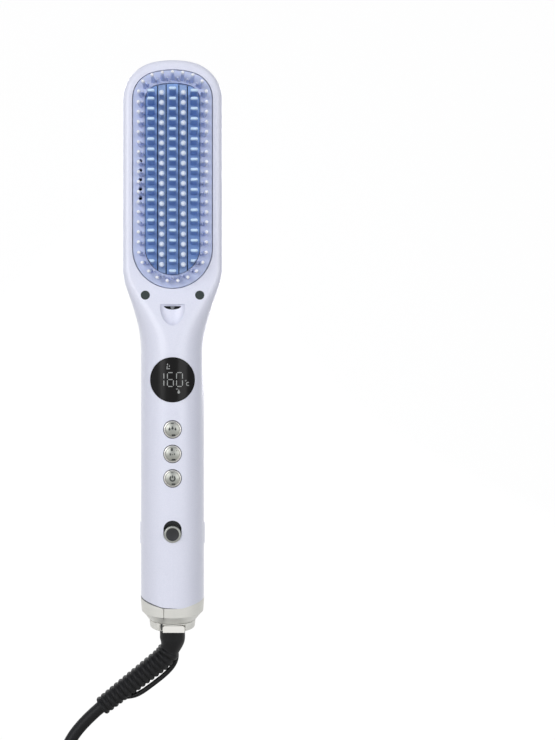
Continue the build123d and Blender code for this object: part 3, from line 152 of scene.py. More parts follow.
grainPlan = {"fineDetail": 4, "cloudDetail": 3, "middle": 0.5, "bump": 0.05 * mm}


def makeGrainGroup(plan):
    tree, start, end = newGroup("mouldedGrain", [
        ("Base", "NodeSocketColor", (0.5, 0.5, 0.5, 1)), ("Vary", "NodeSocketFloat", 0.04),
        ("Grain Scale", "NodeSocketFloat", 900.0), ("Cloud Scale", "NodeSocketFloat", 40.0),
        ("Depth", "NodeSocketFloat", 0.1), ("Roughness", "NodeSocketFloat", 0.4),
        ("Rough Vary", "NodeSocketFloat", 0.06),
    ], surfaceOutputs)
    place = objectPlace(tree)
    fine = noise(tree, place, start.outputs["Grain Scale"], plan["fineDetail"])
    cloud = noise(tree, place, start.outputs["Cloud Scale"], plan["cloudDetail"])
    shift = maths(tree, "SUBTRACT", cloud, plan["middle"])
    value = maths(tree, "ADD", maths(tree, "MULTIPLY", shift, start.outputs["Vary"]), 1)
    rough = maths(tree, "MULTIPLY_ADD", shift, start.outputs["Rough Vary"], start.outputs["Roughness"])
    return endSurface(tree, start, end, value, rough, fine, plan["bump"])


streakPlan = {"detail": 5, "rough": 0.16, "bump": 0.03 * mm}


def makeStreakGroup(plan):
    tree, start, end = newGroup("brushedStreaks", [
        ("Base", "NodeSocketColor", (0.6, 0.6, 0.6, 1)), ("Vary", "NodeSocketFloat", 0.12),
        ("Across", "NodeSocketFloat", 60.0), ("Along", "NodeSocketFloat", 2500.0),
        ("Depth", "NodeSocketFloat", 0.15), ("Roughness", "NodeSocketFloat", 0.28),
    ], surfaceOutputs)
    parts = splitPlace(tree, objectPlace(tree))
    joined = tree.nodes.new("ShaderNodeCombineXYZ")
    for axis, size in (("X", "Across"), ("Y", "Across"), ("Z", "Along")):
        tree.links.new(maths(tree, "MULTIPLY", parts[axis], start.outputs[size]), joined.inputs[axis])
    streaks = noise(tree, joined.outputs[0], 1, plan["detail"])
    value = mapRange(tree, streaks, To_Min=1, To_Max=maths(tree, "SUBTRACT", 1, start.outputs["Vary"]))
    rough = maths(tree, "MULTIPLY_ADD", streaks, plan["rough"], start.outputs["Roughness"])
    return endSurface(tree, start, end, value, rough, streaks, plan["bump"])


def makeTipGroup():
    tree, start, end = newGroup("tipFade", [
        ("Foot", "NodeSocketColor", (0.2, 0.2, 0.2, 1)), ("Tip", "NodeSocketColor", (1, 1, 1, 1)),
        ("Fade From", "NodeSocketFloat", -0.015), ("Fade To", "NodeSocketFloat", -0.02),
    ], [("Color", "NodeSocketColor")])
    # paler towards the tips by depth along y; on the comb teeth this is a painted highlight
    depth = splitPlace(tree, objectPlace(tree))["Y"]
    fade = mapRange(tree, depth, "SMOOTHSTEP", From_Min=start.outputs["Fade From"], From_Max=start.outputs["Fade To"])
    tree.links.new(mixColors(tree, fade, start.outputs["Foot"], start.outputs["Tip"]), end.inputs["Color"])
    return tree


def makeFlakeGroup():
    tree, start, end = newGroup("pearlFlakes", [
        ("Base", "NodeSocketColor", (0.8, 0.8, 0.9, 1)), ("Flake", "NodeSocketColor", (0.9, 0.9, 1, 1)),
        ("Flake Scale", "NodeSocketFloat", 2600.0), ("Amount", "NodeSocketFloat", 0.35),
    ], [("Color", "NodeSocketColor")])
    cells = tree.nodes.new("ShaderNodeTexVoronoi")
    tree.links.new(objectPlace(tree), cells.inputs["Vector"])
    tree.links.new(start.outputs["Flake Scale"], cells.inputs["Scale"])
    parts = tree.nodes.new("ShaderNodeSeparateColor")
    tree.links.new(cells.outputs["Color"], parts.inputs[0])
    share = maths(tree, "MULTIPLY", parts.outputs[0], start.outputs["Amount"])
    tree.links.new(mixColors(tree, share, start.outputs["Base"], start.outputs["Flake"]), end.inputs["Color"])
    return tree


smokePlan = {"airStrength": 0.8, "discStrength": 0.9, "ringStrength": 0.45}


def makeSmokeGroup(plan):
    # what shows through the smoked tank: paler above the water line, with two round marks on the middle line
    tree, start, end = newGroup("smokeMarks", [
        ("Deep", "NodeSocketColor", (0.05, 0.05, 0.04, 1)), ("Pale", "NodeSocketColor", (0.2, 0.2, 0.16, 1)),
        ("Water Line", "NodeSocketFloat", 0.045), ("Disc Height", "NodeSocketFloat", -0.0071),
        ("Disc Radius", "NodeSocketFloat", 0.0053), ("Ring Height", "NodeSocketFloat", 0.0356),
        ("Ring Radius", "NodeSocketFloat", 0.003), ("Edge", "NodeSocketFloat", 0.0005),
    ], [("Color", "NodeSocketColor")])
    parts = splitPlace(tree, objectPlace(tree))
    across = maths(tree, "MULTIPLY", parts["X"], parts["X"])

    def step(value, at):
        above = maths(tree, "DIVIDE", maths(tree, "SUBTRACT", value, at), start.outputs["Edge"])
        return maths(tree, "MINIMUM", maths(tree, "MAXIMUM", above, 0.0), 1.0)

    def spot(title, strength):
        down = maths(tree, "SUBTRACT", parts["Z"], start.outputs[title + " Height"])
        away = maths(tree, "SQRT", maths(tree, "ADD", maths(tree, "MULTIPLY", down, down), across))
        return maths(tree, "MULTIPLY", step(start.outputs[title + " Radius"], away), strength)

    mask = maths(tree, "MULTIPLY", step(parts["Z"], start.outputs["Water Line"]), plan["airStrength"])
    mask = maths(tree, "MAXIMUM", mask, spot("Disc", plan["discStrength"]))
    mask = maths(tree, "MAXIMUM", mask, spot("Ring", plan["ringStrength"]))
    tree.links.new(mixColors(tree, mask, start.outputs["Deep"], start.outputs["Pale"]), end.inputs["Color"])
    return tree


grainGroup = makeGrainGroup(grainPlan)
smokeGroup = makeSmokeGroup(smokePlan)
streakGroup = makeStreakGroup(streakPlan)
tipGroup = makeTipGroup()
flakeGroup = makeFlakeGroup()


# Finishes

def linear(channel):
    share = channel / 255
    return share / 12.92 if channel <= 10 else ((share + 0.055) / 1.055) ** 2.4


def srgb(red, green, blue):
    return linear(red), linear(green), linear(blue), 1


def startMaterial(name):
    material = bpy.data.materials.new(name)
    material.use_nodes = True
    tree = material.node_tree
    return material, tree, tree.nodes["Principled BSDF"]


def setInputs(made, values):
    for key, value in values.items():
        made.inputs[key.replace("_", " ")].default_value = value


def placeGroup(tree, group, **values):
    made = tree.nodes.new("ShaderNodeGroup")
    made.node_tree = group
    setInputs(made, values)
    return made


def dressShader(tree, source, shader, **values):
    for title, target in (("Color", "Base Color"), ("Roughness", "Roughness"), ("Normal", "Normal")):
        tree.links.new(source.outputs[title], shader.inputs[target])
    setInputs(shader, values)


def moulded(name, color, rough, grain=900.0, depth=0.12, vary=0.06, roughVary=0.08, coat=0.0, cloud=40.0, shine=0.5):
    material, tree, shader = startMaterial(name)
    grainNode = placeGroup(tree, grainGroup, Base=color, Vary=vary, Grain_Scale=grain, Cloud_Scale=cloud,
                           Depth=depth, Roughness=rough, Rough_Vary=roughVary)
    dressShader(tree, grainNode, shader, Coat_Weight=coat, Coat_Roughness=0.1, Specular_IOR_Level=shine)
    return material


def brushed(name, color, rough, across=60.0, along=2500.0, depth=0.12, vary=0.12, metal=1.0):
    material, tree, shader = startMaterial(name)
    streaks = placeGroup(tree, streakGroup, Base=color, Vary=vary, Across=across, Along=along, Depth=depth,
                         Roughness=rough)
    dressShader(tree, streaks, shader, Metallic=metal)
    return material


def overlaid(name, group, colors, grain, surface):
    # a group's colours under the moulded grain
    material, tree, shader = startMaterial(name)
    under = placeGroup(tree, group, **colors)
    grainNode = placeGroup(tree, grainGroup, **grain)
    tree.links.new(under.outputs["Color"], grainNode.inputs["Base"])
    dressShader(tree, grainNode, shader, **surface)
    return material


def tipped(name, foot, tip, fadeFrom, fadeTo, rough, subsurface, coat):
    return overlaid(
        name, tipGroup, {"Foot": foot, "Tip": tip, "Fade_From": fadeFrom, "Fade_To": fadeTo},
        {"Vary": 0.05, "Grain_Scale": 1200.0, "Cloud_Scale": 90.0, "Depth": 0.05, "Roughness": rough,
         "Rough_Vary": 0.1},
        {"Subsurface_Weight": subsurface, "Subsurface_Radius": (0.6, 0.7, 1.0), "Subsurface_Scale": 0.0015,
         "Coat_Weight": coat, "Coat_Roughness": 0.12})


def makePearlBody():
    return overlaid(
        "pearlBody", flakeGroup,
        {"Base": srgb(228, 230, 243), "Flake": srgb(238, 238, 250), "Flake_Scale": 3200.0, "Amount": 0.5},
        {"Vary": 0.03, "Grain_Scale": 500.0, "Cloud_Scale": 25.0, "Depth": 0.02, "Roughness": 0.3,
         "Rough_Vary": 0.05},
        {"Specular_IOR_Level": 0.3, "Coat_Weight": 0.12, "Coat_Roughness": 0.16})


def makeSmokedTank():
    return overlaid(
        "smokedTank", smokeGroup, {"Deep": srgb(64, 60, 52), "Pale": srgb(138, 134, 118)},
        {"Vary": 0.05, "Grain_Scale": 300.0, "Cloud_Scale": 30.0, "Depth": 0.01, "Roughness": 0.06,
         "Rough_Vary": 0.04},
        {"Transmission_Weight": 0.7, "IOR": 1.47, "Specular_IOR_Level": 0.3})


def makeLitMark():
    material, tree, shader = startMaterial("litMark")
    grainNode = placeGroup(tree, grainGroup, Base=srgb(138, 140, 138), Vary=0.15, Grain_Scale=900.0,
                           Cloud_Scale=200.0, Depth=0.02, Roughness=0.35, Rough_Vary=0.05)
    for title, target in (("Color", "Base Color"), ("Color", "Emission Color"), ("Roughness", "Roughness")):
        tree.links.new(grainNode.outputs[title], shader.inputs[target])
    setInputs(shader, {"Emission_Strength": 0.25})
    return material


finishes = {
    "pearl": makePearlBody(),
    "ring": tipped("paleRing", srgb(196, 205, 234), srgb(248, 249, 255), -0.0160, -0.0188, 0.34, 0.2, 0.15),
    # the combs' pale tip colour is a painted highlight on the tooth tips, reaching a little down the flanks
    "comb": tipped("combBlue", srgb(134, 167, 218), srgb(206, 230, 255), -0.0184, -0.0200, 0.36, 0.1, 0.2),
    "strip": tipped("stripGreyBlue", srgb(146, 171, 210), srgb(226, 235, 250), -0.0164, -0.0176, 0.36, 0.1, 0.15),
    "darkPlate": moulded("darkPlate", srgb(26, 34, 62), 0.5),
    "window": moulded("displayGlass", srgb(24, 23, 22), 0.22, grain=400.0, depth=0.01, vary=0.3, roughVary=0.1,
                      shine=0.13),
    "warmSilver": brushed("warmSilver", srgb(216, 213, 206), 0.2),
    # a lighter, half-metal copy of the silver for the collar and swivel ring: painted light, so the downward slope
    # stays bright instead of mirroring the dark relief
    "collarSilverBrightened": brushed("collarSilverBrightened", srgb(225, 224, 217), 0.34, metal=0.4),
    # a lighter copy of the silver for the swivel block: painted light against the shade the collar casts on it
    "swivelSilverBrightened": brushed("swivelSilverBrightened", srgb(240, 238, 232), 0.26),
    "buttonSilver": brushed("buttonSilver", srgb(160, 161, 154), 0.34, across=700.0, along=700.0, depth=0.05,
                            vary=0.14),
    "steel": brushed("steel", srgb(188, 190, 194), 0.24, across=300.0, along=900.0),
    "brass": brushed("brass", srgb(206, 172, 96), 0.25, across=300.0, along=900.0),
    "heaterMetal": brushed("heaterMetal", srgb(176, 178, 184), 0.36, across=120.0, along=600.0),
    "plug": moulded("screwPlugGrey", srgb(50, 58, 56), 0.55, shine=0.3),
    "black": moulded("blackPlastic", srgb(24, 25, 26), 0.42, grain=1100.0, depth=0.2),
    "rubber": moulded("blackRubber", srgb(12, 12, 13), 0.5, grain=1500.0, depth=0.3, vary=0.14, roughVary=0.16,
                      shine=0.22),
    "tank": makeSmokedTank(),
    "portWhite": moulded("portWhite", srgb(236, 236, 232), 0.22, grain=700.0, depth=0.05, coat=0.4),
    "board": moulded("circuitBoard", srgb(30, 92, 56), 0.4, grain=350.0, depth=0.3, vary=0.3, cloud=160.0),
    "ceramic": moulded("ceramic", srgb(226, 222, 210), 0.5, grain=1300.0, depth=0.2),
    "hose": moulded("siliconeHose", srgb(206, 206, 200), 0.4, grain=700.0, depth=0.05),
    "mark": moulded("printedMark", srgb(44, 46, 44), 0.5),
    # dark grey for the painted shade lines at the bezels and along the collar's top
    "seamShade": moulded("seamShade", srgb(66, 68, 76), 0.5),
    "lit": makeLitMark(),
}
print("finishes made:", len(finishes))

nodeFinish = {
    "pearl": ["front_shell", "rear_shell", "release_tab_left", "release_tab_right"],
    "ring": ["bristle_ring"],
    "comb": ["comb_left", "comb_centre", "comb_right"],
    "strip": ["bristle_strip_left", "bristle_strip_right"],
    "darkPlate": ["heater_plate"],
    "window": ["display_window"],
    "warmSilver": ["button_bezels"],
    "collarSilverBrightened": ["collar_band", "swivel_ring"],
    "swivelSilverBrightened": ["swivel_block"],
    "buttonSilver": ["power_button", "mode_button", "steam_button", "slide_knob"],
    "steel": ["thermal_fuse", "water_pump", "ion_needle", "neck_screws", "board_screws", "retaining_clip"],
    "brass": ["slip_disc", "contact_springs", "plug_pins"],
    "heaterMetal": ["steam_chamber"],
    "plug": ["screw_plugs"],
    "black": ["heater_tray", "steam_outlet_bar", "ion_outlet", "display_module", "tact_switches", "switch_seat",
              "knob_cap", "slide_switch_body", "port_stopper", "tank_valve", "swivel_bush", "contact_holder"],
    "rubber": ["valve_seal", "strain_relief", "hanging_loop", "cord", "cord_coil", "cord_tie", "plug_body"],
    "tank": ["tank_shell"],
    "portWhite": ["port_frame"],
    "board": ["control_board", "main_board"],
    "ceramic": ["heater_elements", "thermistor", "tank_filter"],
    "hose": ["steam_tube", "suction_elbow", "delivery_tube"],
}
for finish, titles in nodeFinish.items():
    for title in titles:
        slots = nodes[title].data.materials
        slots.clear()
        slots.append(finishes[finish])
print("nodes dressed")


# Curve helpers

def startCurve(title, kind, places):
    curve = bpy.data.curves.new(title, "CURVE")
    curve.dimensions = "3D"
    spline = curve.splines.new(kind)
    spline.points.add(len(places) - 1)
    for point, place in zip(spline.points, places):
        point.co = (*(place * mm), 1)
    return curve, spline


rodFacets = 6


def makeRod(title, places, radius, steps):
    curve, spline = startCurve(title, "NURBS", places)
    spline.order_u = 3
    spline.use_endpoint_u = True
    spline.resolution_u = steps
    curve.bevel_depth = radius
    curve.bevel_resolution = rodFacets
    curve.use_fill_caps = True
    curve.materials.append(finishes["rubber"])
    return placeObject(title, curve)


# Cord and coil

cordPlan = {
    "diameter": 6 * mm,
    "length": 1.75,
    "route": [    # from the relief's end to the coil, in mm, as in the source
        (-35.196, 0, -114.927), (-46.8, 0.0, -124.7), (-54.6, -3.2, -138.2), (-56.2, -9.0, -153.2),
        (-50.5, -15.8, -167.0), (-38.5, -21.4, -176.6), (-23.0, -24.8, -180.6), (-8.0, -24.8, -180.6),
    ],
    "coilInner": 28.1, "turnStep": 6.6, "layerStep": 6.6, "halfTurns": 15, "halvesALayer": 4,
    "lead": 6.0, "tail": 18.0, "tailShares": (0.4, 1.0), "pointsAHalf": 8, "steps": 6,
}


def coilPoints(plan):
    x, y, z = plan["route"][-1]
    here = Vector((x + plan["lead"], y, z))
    points, way = [], 1
    swell = 1 / math.cos(math.pi / (2 * plan["pointsAHalf"]))
    inner = plan["halvesALayer"] - 1
    for k in range(plan["halfTurns"]):
        apart = abs((k - inner + plan["halvesALayer"]) % (2 * plan["halvesALayer"]) - plan["halvesALayer"])
        radius = plan["coilInner"] + plan["turnStep"] / 2 * apart
        fall = plan["layerStep"] if k % plan["halvesALayer"] == inner else 0
        centre = here + Vector((0, way * radius, 0))
        for step in range(plan["pointsAHalf"]):
            share = (step + 0.5) / plan["pointsAHalf"]
            angle = math.pi * share
            points.append(centre + Vector((way * math.sin(angle) * radius * swell,
                                           -way * math.cos(angle) * radius * swell, -fall * share)))
        here, way = here + Vector((0, way * 2 * radius, -fall)), -way
    for share in plan["tailShares"]:
        points.append(here + Vector((way * plan["tail"] * share, 0, 0)))
    return points


mainsCord = makeRod("mainsCord", [Vector(p) for p in cordPlan["route"]] + coilPoints(cordPlan),
                    cordPlan["diameter"] / 2, cordPlan["steps"])
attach(mainsCord, "cord_swivel")
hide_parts("cord", "cord_coil")
print("cord laid")


# Strain relief and hanging loop

reliefPlan = {    # lead is how far the skin starts above the top, inside the swivel block
    "top": -74.95, "straight": 5.0, "bend": 15.0, "turn": 51.804, "run": 37.5, "lead": 2, "linePoints": 90,
    "neckRadius": 6.3, "ribRadius": 5.7, "endRadius": 4.6, "smooth": 12.0, "taper": 45.0,
    "ribPitch": 2.8, "ribDepth": 0.85, "crest": 0.45, "neckShare": 0.55, "weld": 0.002, "samples": 260, "sides": 40,
}


def reliefLine(plan, distance):
    # the place and the way of the relief's middle line at this distance from its top
    turn = math.radians(plan["turn"])
    bendLength = plan["bend"] * turn
    low = plan["top"] - plan["straight"]
    if distance <= plan["straight"]:
        return Vector((0, 0, plan["top"] - distance)), Vector((0, 0, -1))
    angle = min((distance - plan["straight"]) / plan["bend"], turn)
    place = Vector((-plan["bend"] * (1 - math.cos(angle)), 0, low - plan["bend"] * math.sin(angle)))
    way = Vector((-math.sin(angle), 0, -math.cos(angle)))
    return place + way * max(distance - plan["straight"] - bendLength, 0), way


def startRibbedTree():
    tree = bpy.data.node_groups.new("ribbedSleeve", "GeometryNodeTree")
    lengths = ("Smooth Length", "Taper Length", "Rib Pitch", "Rib Depth", "Neck Radius", "Rib Radius", "End Radius")
    for title, kind in [("Geometry", "Geometry")] + [(title, "Float") for title in lengths] + [
            ("Samples", "Int"), ("Sides", "Int"), ("Finish", "Material")]:
        tree.interface.new_socket(name=title, in_out="INPUT", socket_type="NodeSocket" + kind)
    tree.interface.new_socket(name="Geometry", in_out="OUTPUT", socket_type="NodeSocketGeometry")
    return tree, tree.nodes.new("NodeGroupInput").outputs, tree.nodes.new("NodeGroupOutput")


def ribbedRadius(plan, tree, given, length):
    # smooth at the neck, then ribs on a taper
    past = maths(tree, "MAXIMUM", maths(tree, "SUBTRACT", length, given["Smooth Length"]), 0)
    slope = maths(tree, "SUBTRACT", given["End Radius"], given["Rib Radius"])
    share = maths(tree, "DIVIDE", past, given["Taper Length"])
    taper = maths(tree, "MULTIPLY_ADD", share, slope, given["Rib Radius"])
    phase = maths(tree, "DIVIDE", past, given["Rib Pitch"])
    wave = maths(tree, "COSINE", maths(tree, "MULTIPLY", phase, 2 * math.pi))
    crest = maths(tree, "POWER", maths(tree, "MULTIPLY_ADD", wave, -0.5, 0.5), plan["crest"])
    dip = maths(tree, "MULTIPLY", maths(tree, "SUBTRACT", 1, crest), given["Rib Depth"])
    neckEnd = maths(tree, "MULTIPLY", given["Smooth Length"], plan["neckShare"])
    near = mapRange(tree, length, "SMOOTHSTEP", From_Min=neckEnd, From_Max=given["Smooth Length"])
    return mixValues(tree, near, given["Neck Radius"], maths(tree, "SUBTRACT", taper, dip))


def makeRibbedTree(plan):
    tree, given, end = startRibbedTree()
    length = tree.nodes.new("GeometryNodeSplineParameter").outputs["Length"]
    resample = tree.nodes.new("GeometryNodeResampleCurve")
    ring = tree.nodes.new("GeometryNodeCurvePrimitiveCircle")
    ring.inputs["Radius"].default_value = 1
    skin = tree.nodes.new("GeometryNodeCurveToMesh")
    skin.inputs["Fill Caps"].default_value = True
    smoothShade = tree.nodes.new("GeometryNodeSetShadeSmooth")
    realize = tree.nodes.new("GeometryNodeRealizeInstances")
    dress = tree.nodes.new("GeometryNodeSetMaterial")
    for source, target in (
            (given["Geometry"], resample.inputs["Curve"]), (given["Samples"], resample.inputs["Count"]),
            (given["Sides"], ring.inputs["Resolution"]), (resample.outputs[0], skin.inputs["Curve"]),
            (ring.outputs["Curve"], skin.inputs["Profile Curve"]),
            (ribbedRadius(plan, tree, given, length), skin.inputs["Scale"]),
            (skin.outputs[0], smoothShade.inputs["Geometry"]), (smoothShade.outputs[0], realize.inputs[0]),
            (realize.outputs[0], dress.inputs["Geometry"]), (given["Finish"], dress.inputs["Material"]),
            (dress.outputs[0], end.inputs[0])):
        tree.links.new(source, target)
    return tree


def bakeTree(carrier, tree, values, title):
    modifier = carrier.modifiers.new(tree.name, "NODES")
    modifier.node_group = tree
    names = {item.name: item.identifier for item in tree.interface.items_tree
             if item.item_type == "SOCKET" and item.in_out == "INPUT"}
    for key, value in values.items():
        modifier[names[key]] = value
    carrier.update_tag()
    bpy.context.view_layer.update()
    graph = bpy.context.evaluated_depsgraph_get()
    mesh = bpy.data.meshes.new_from_object(carrier.evaluated_get(graph))
    bpy.data.objects.remove(carrier)
    return placeObject(title, mesh)


def closeMesh(mesh, weld):
    shape = bmesh.new()
    shape.from_mesh(mesh)
    bmesh.ops.remove_doubles(shape, verts=shape.verts, dist=weld)
    bmesh.ops.recalc_face_normals(shape, faces=shape.faces)
    shape.to_mesh(mesh)
    shape.free()


def makeRelief(plan):
    length = plan["straight"] + plan["bend"] * math.radians(plan["turn"]) + plan["run"]
    line = [Vector((0, 0, plan["top"] + plan["lead"]))]
    line += [reliefLine(plan, length * k / plan["linePoints"])[0] for k in range(plan["linePoints"] + 1)]
    sizes = {"Smooth Length": plan["smooth"] + plan["lead"], "Taper Length": plan["taper"],
             "Rib Pitch": plan["ribPitch"], "Rib Depth": plan["ribDepth"], "Neck Radius": plan["neckRadius"],
             "Rib Radius": plan["ribRadius"], "End Radius": plan["endRadius"]}
    values = {title: size * mm for title, size in sizes.items()}
    values.update({"Samples": plan["samples"], "Sides": plan["sides"], "Finish": finishes["rubber"]})
    carrier = placeObject("reliefLine", startCurve("reliefLine", "POLY", line)[0])
    made = bakeTree(carrier, makeRibbedTree(plan), values, "ribbedRelief")
    closeMesh(made.data, plan["weld"] * mm)
    return made


ribbedRelief = makeRelief(reliefPlan)
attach(ribbedRelief, "cord_swivel")
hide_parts("strain_relief")
print("relief made:", len(ribbedRelief.data.polygons), "faces")

strapPlan = {
    "radius": 1.2, "steps": 10,    # places: distance along the relief's line, then distance out from it
    "places": [(9.5, 2.2), (12.5, 4.8), (16.0, 6.4), (21.0, 7.15), (30.0, 7.1), (37.0, 6.8), (42.0, 5.2), (46.0, 2.0)],
}


def strapPlace(along, out):
    place, way = reliefLine(reliefPlan, along)
    return place + Vector((-way.z, 0, way.x)) * out


hangingStrap = makeRod("hangingStrap", [strapPlace(along, out) for along, out in strapPlan["places"]],
                       strapPlan["radius"] * mm, strapPlan["steps"])
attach(hangingStrap, "cord_swivel")
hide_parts("hanging_loop")


# Mesh helpers

def addRing(shape, places):
    return [shape.verts.new((x * mm, y * mm, z * mm)) for x, y, z in places]


def joinRings(shape, rings, closed=False):
    for ring, following in zip(rings, rings[1:] + (rings[:1] if closed else [])):
        for side in range(len(ring)):
            after = (side + 1) % len(ring)
            shape.faces.new((ring[side], ring[after], following[after], following[side]))
    if not closed:
        shape.faces.new(rings[0])
        shape.faces.new(list(reversed(rings[-1])))


def makePiece(title, shape, finish, body):
    mesh = bpy.data.meshes.new(title)
    bmesh.ops.recalc_face_normals(shape, faces=shape.faces)
    shape.to_mesh(mesh)
    shape.free()
    mesh.materials.append(finishes[finish])
    made = placeObject(title, mesh)
    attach(made, body)
    return made


# Plug

plugPlan = {
    "floor": -203.4, "middle": 57.8,    # sections: place along x, half width, half height, squareness
    "neck": [(-20.0, 3.4, 3.4, 2.0), (-20.6, 3.9, 3.8, 2.0), (-26.0, 4.6, 4.2, 2.1), (-28.5, 6.4, 4.7, 2.3),
             (-31.0, 9.6, 5.2, 2.8), (-33.5, 11.8, 5.5, 3.4), (-36.0, 12.9, 5.6, 4.0)],
    "grip": (-37.0, 13.3, 5.6, 4.0), "ribPitch": 1.7, "ribs": 7, "ribSteps": 4, "ribDeep": 0.5, "ribFlat": 4,
    "face": [(-50.6, 13.3, 5.6, 4.2), (-51.8, 13.1, 5.5, 4.2), (-52.5, 12.6, 5.1, 4.2), (-52.8, 11.9, 4.6, 4.2)],
    "around": 48, "sharp": math.radians(40),
    "sleeveRadius": 2.05, "sleeveStart": -52.4, "sleeveEnd": -62.6, "sleeveSides": 24,
    "pinApart": 18.6, "pinHeight": -197.8,
}


def plugSections(plan):
    found = list(plan["neck"])
    start, wide, high, square = plan["grip"]
    for k in range(plan["ribs"] * plan["ribSteps"] + 1):
        share = k / plan["ribSteps"]
        dip = plan["ribDeep"] * (1 - math.cos(2 * math.pi * share)) / 2
        found.append((start - plan["ribPitch"] * share, wide - dip, high - dip / plan["ribFlat"], square))
    return found + plan["face"]


def plugRing(plan, x, wide, high, square):
    places = []
    for k in range(plan["around"]):
        angle = 2 * math.pi * k / plan["around"]
        c, s = math.cos(angle), math.sin(angle)
        places.append((x, plan["middle"] + wide * math.copysign(abs(c) ** (2 / square), c),
                       plan["floor"] + high + high * math.copysign(abs(s) ** (2 / square), s)))
    return places


def makePlug(plan):
    shape = bmesh.new()
    joinRings(shape, [addRing(shape, plugRing(plan, *section)) for section in plugSections(plan)])
    middleX = (plan["sleeveStart"] + plan["sleeveEnd"]) / 2
    for side in (-1, 1):
        middle = Vector((middleX, plan["middle"] + side * plan["pinApart"] / 2, plan["pinHeight"])) * mm
        place = Matrix.Translation(middle) @ Matrix.Rotation(math.pi / 2, 4, "Y")
        bmesh.ops.create_cone(shape, cap_ends=True, segments=plan["sleeveSides"],
                              radius1=plan["sleeveRadius"] * mm, radius2=plan["sleeveRadius"] * mm,
                              depth=(plan["sleeveStart"] - plan["sleeveEnd"]) * mm, matrix=place)
    made = makePiece("plugCasing", shape, "rubber", "cord_swivel")
    made.data.shade_smooth()
    made.data.set_sharp_from_angle(angle=plan["sharp"])
    return made


plugCasing = makePlug(plugPlan)
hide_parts("plug_body")
print("plug made")


# The handle's outline, for all that lies on it

bodySkin = {"flat": 0.7, "halfWidth": 15.68, "depth": 17.5}
skinReach = bodySkin["halfWidth"] - bodySkin["flat"]
skinRise = bodySkin["depth"] - bodySkin["flat"]


def frontDepth(x):
    across = max(abs(x) - bodySkin["flat"], 0) / skinReach
    return bodySkin["flat"] + skinRise * math.sqrt(max(1 - across ** 2, 0))


def skinSurface(x, z):
    # a surface gives y for a place x and z, and the handle's is the same at every height
    return -frontDepth(x)


def skinPoint(turn, quadrant, out):
    x = bodySkin["flat"] + (skinReach + out) * abs(math.cos(turn))
    y = bodySkin["flat"] + (skinRise + out) * abs(math.sin(turn))
    return x if quadrant in (0, 3) else -x, y if quadrant in (0, 1) else -y


# Lit figures and button marks, each a thin plate with its outline in x and z

markPlan = {"thick": 0.12, "litLift": 0.04, "buttonLift": 0.08, "corner": 0.5}


def addPlate(shape, outline, surface, lift):
    front = addRing(shape, [(x, surface(x, z) - lift, z) for x, z in outline])
    back = addRing(shape, [(x, surface(x, z) - lift + markPlan["thick"], z) for x, z in outline])
    joinRings(shape, [front, back])


def bar(x, z, width, height):
    w, h = width / 2, height / 2
    c = min(w, h) * markPlan["corner"]
    corners = [(-w + c, -h), (w - c, -h), (w, -h + c), (w, h - c), (w - c, h), (-w + c, h), (-w, h - c), (-w, -h + c)]
    return [(x + a, z + b) for a, b in corners]


def ringPieces(x, z, outer, inner, start, end, count):
    found = []
    for k in range(count):
        near, far = (math.radians(start + (end - start) * n / count) for n in (k, k + 1))
        found.append([(x + radius * math.cos(angle), z + radius * math.sin(angle))
                      for radius, angle in ((inner, near), (outer, near), (outer, far), (inner, far))])
    return found


dropPlan = {"round": 0.55, "lower": 0.3, "start": -200, "sweep": 220, "steps": 9}


def drop(x, z, size):
    plan = dropPlan
    radius = size * plan["round"]
    angles = [math.radians(plan["start"] + plan["sweep"] * k / plan["steps"]) for k in range(plan["steps"] + 1)]
    belly = [(x + radius * math.cos(a), z - size * plan["lower"] + radius * math.sin(a)) for a in angles]
    return belly + [(x, z + size)]


def makeMarks(title, outlines, surface, lift, body, finish):
    shape = bmesh.new()
    for outline in outlines:
        addPlate(shape, outline, surface, lift)
    return makePiece(title, shape, finish, body)


figurePlan = {
    "thin": 0.42, "tall": 2.5, "wide": 2.1, "top": 51.75, "bottom": 45.1,
    "one": -4.15, "sixLeft": -2.45, "sixRight": 0.42, "noughtLeft": 1.95, "noughtRight": 4.78,
}


def figureOutlines(plan):
    middle = (plan["top"] + plan["bottom"]) / 2
    high, low = (plan["top"] + middle) / 2, (middle + plan["bottom"]) / 2
    six = (plan["sixLeft"] + plan["sixRight"]) / 2
    nought = (plan["noughtLeft"] + plan["noughtRight"]) / 2
    upright = [(plan["one"], high), (plan["one"], low), (plan["sixLeft"], high), (plan["sixLeft"], low),
               (plan["sixRight"], low), (plan["noughtLeft"], high), (plan["noughtLeft"], low),
               (plan["noughtRight"], high), (plan["noughtRight"], low)]
    level = [(six, plan["top"]), (six, middle), (six, plan["bottom"]), (nought, plan["top"]), (nought, plan["bottom"])]
    return ([bar(x, z, plan["thin"], plan["tall"]) for x, z in upright]
            + [bar(x, z, plan["wide"], plan["thin"]) for x, z in level])


makeMarks("litFigures", figureOutlines(figurePlan), skinSurface, markPlan["litLift"], "body", "lit")
smallIcons = ringPieces(7.45, 46.3, 0.95, 0.6, 50, 310, 12) + ringPieces(6.35, 47.9, 0.36, 0.18, 0, 360, 10)
smallIcons += [drop(-2.4, 55.7, 0.55), drop(-1.5, 54.9, 0.5), drop(-2.6, 54.5, 0.5), bar(-2.1, 53.6, 1.7, 0.35)]
smallIcons += [drop(3.0, 42.6, 1.1), bar(2.2, 43.9, 1.0, 0.35)]
makeMarks("litIcons", smallIcons, skinSurface, markPlan["litLift"], "body", "lit")

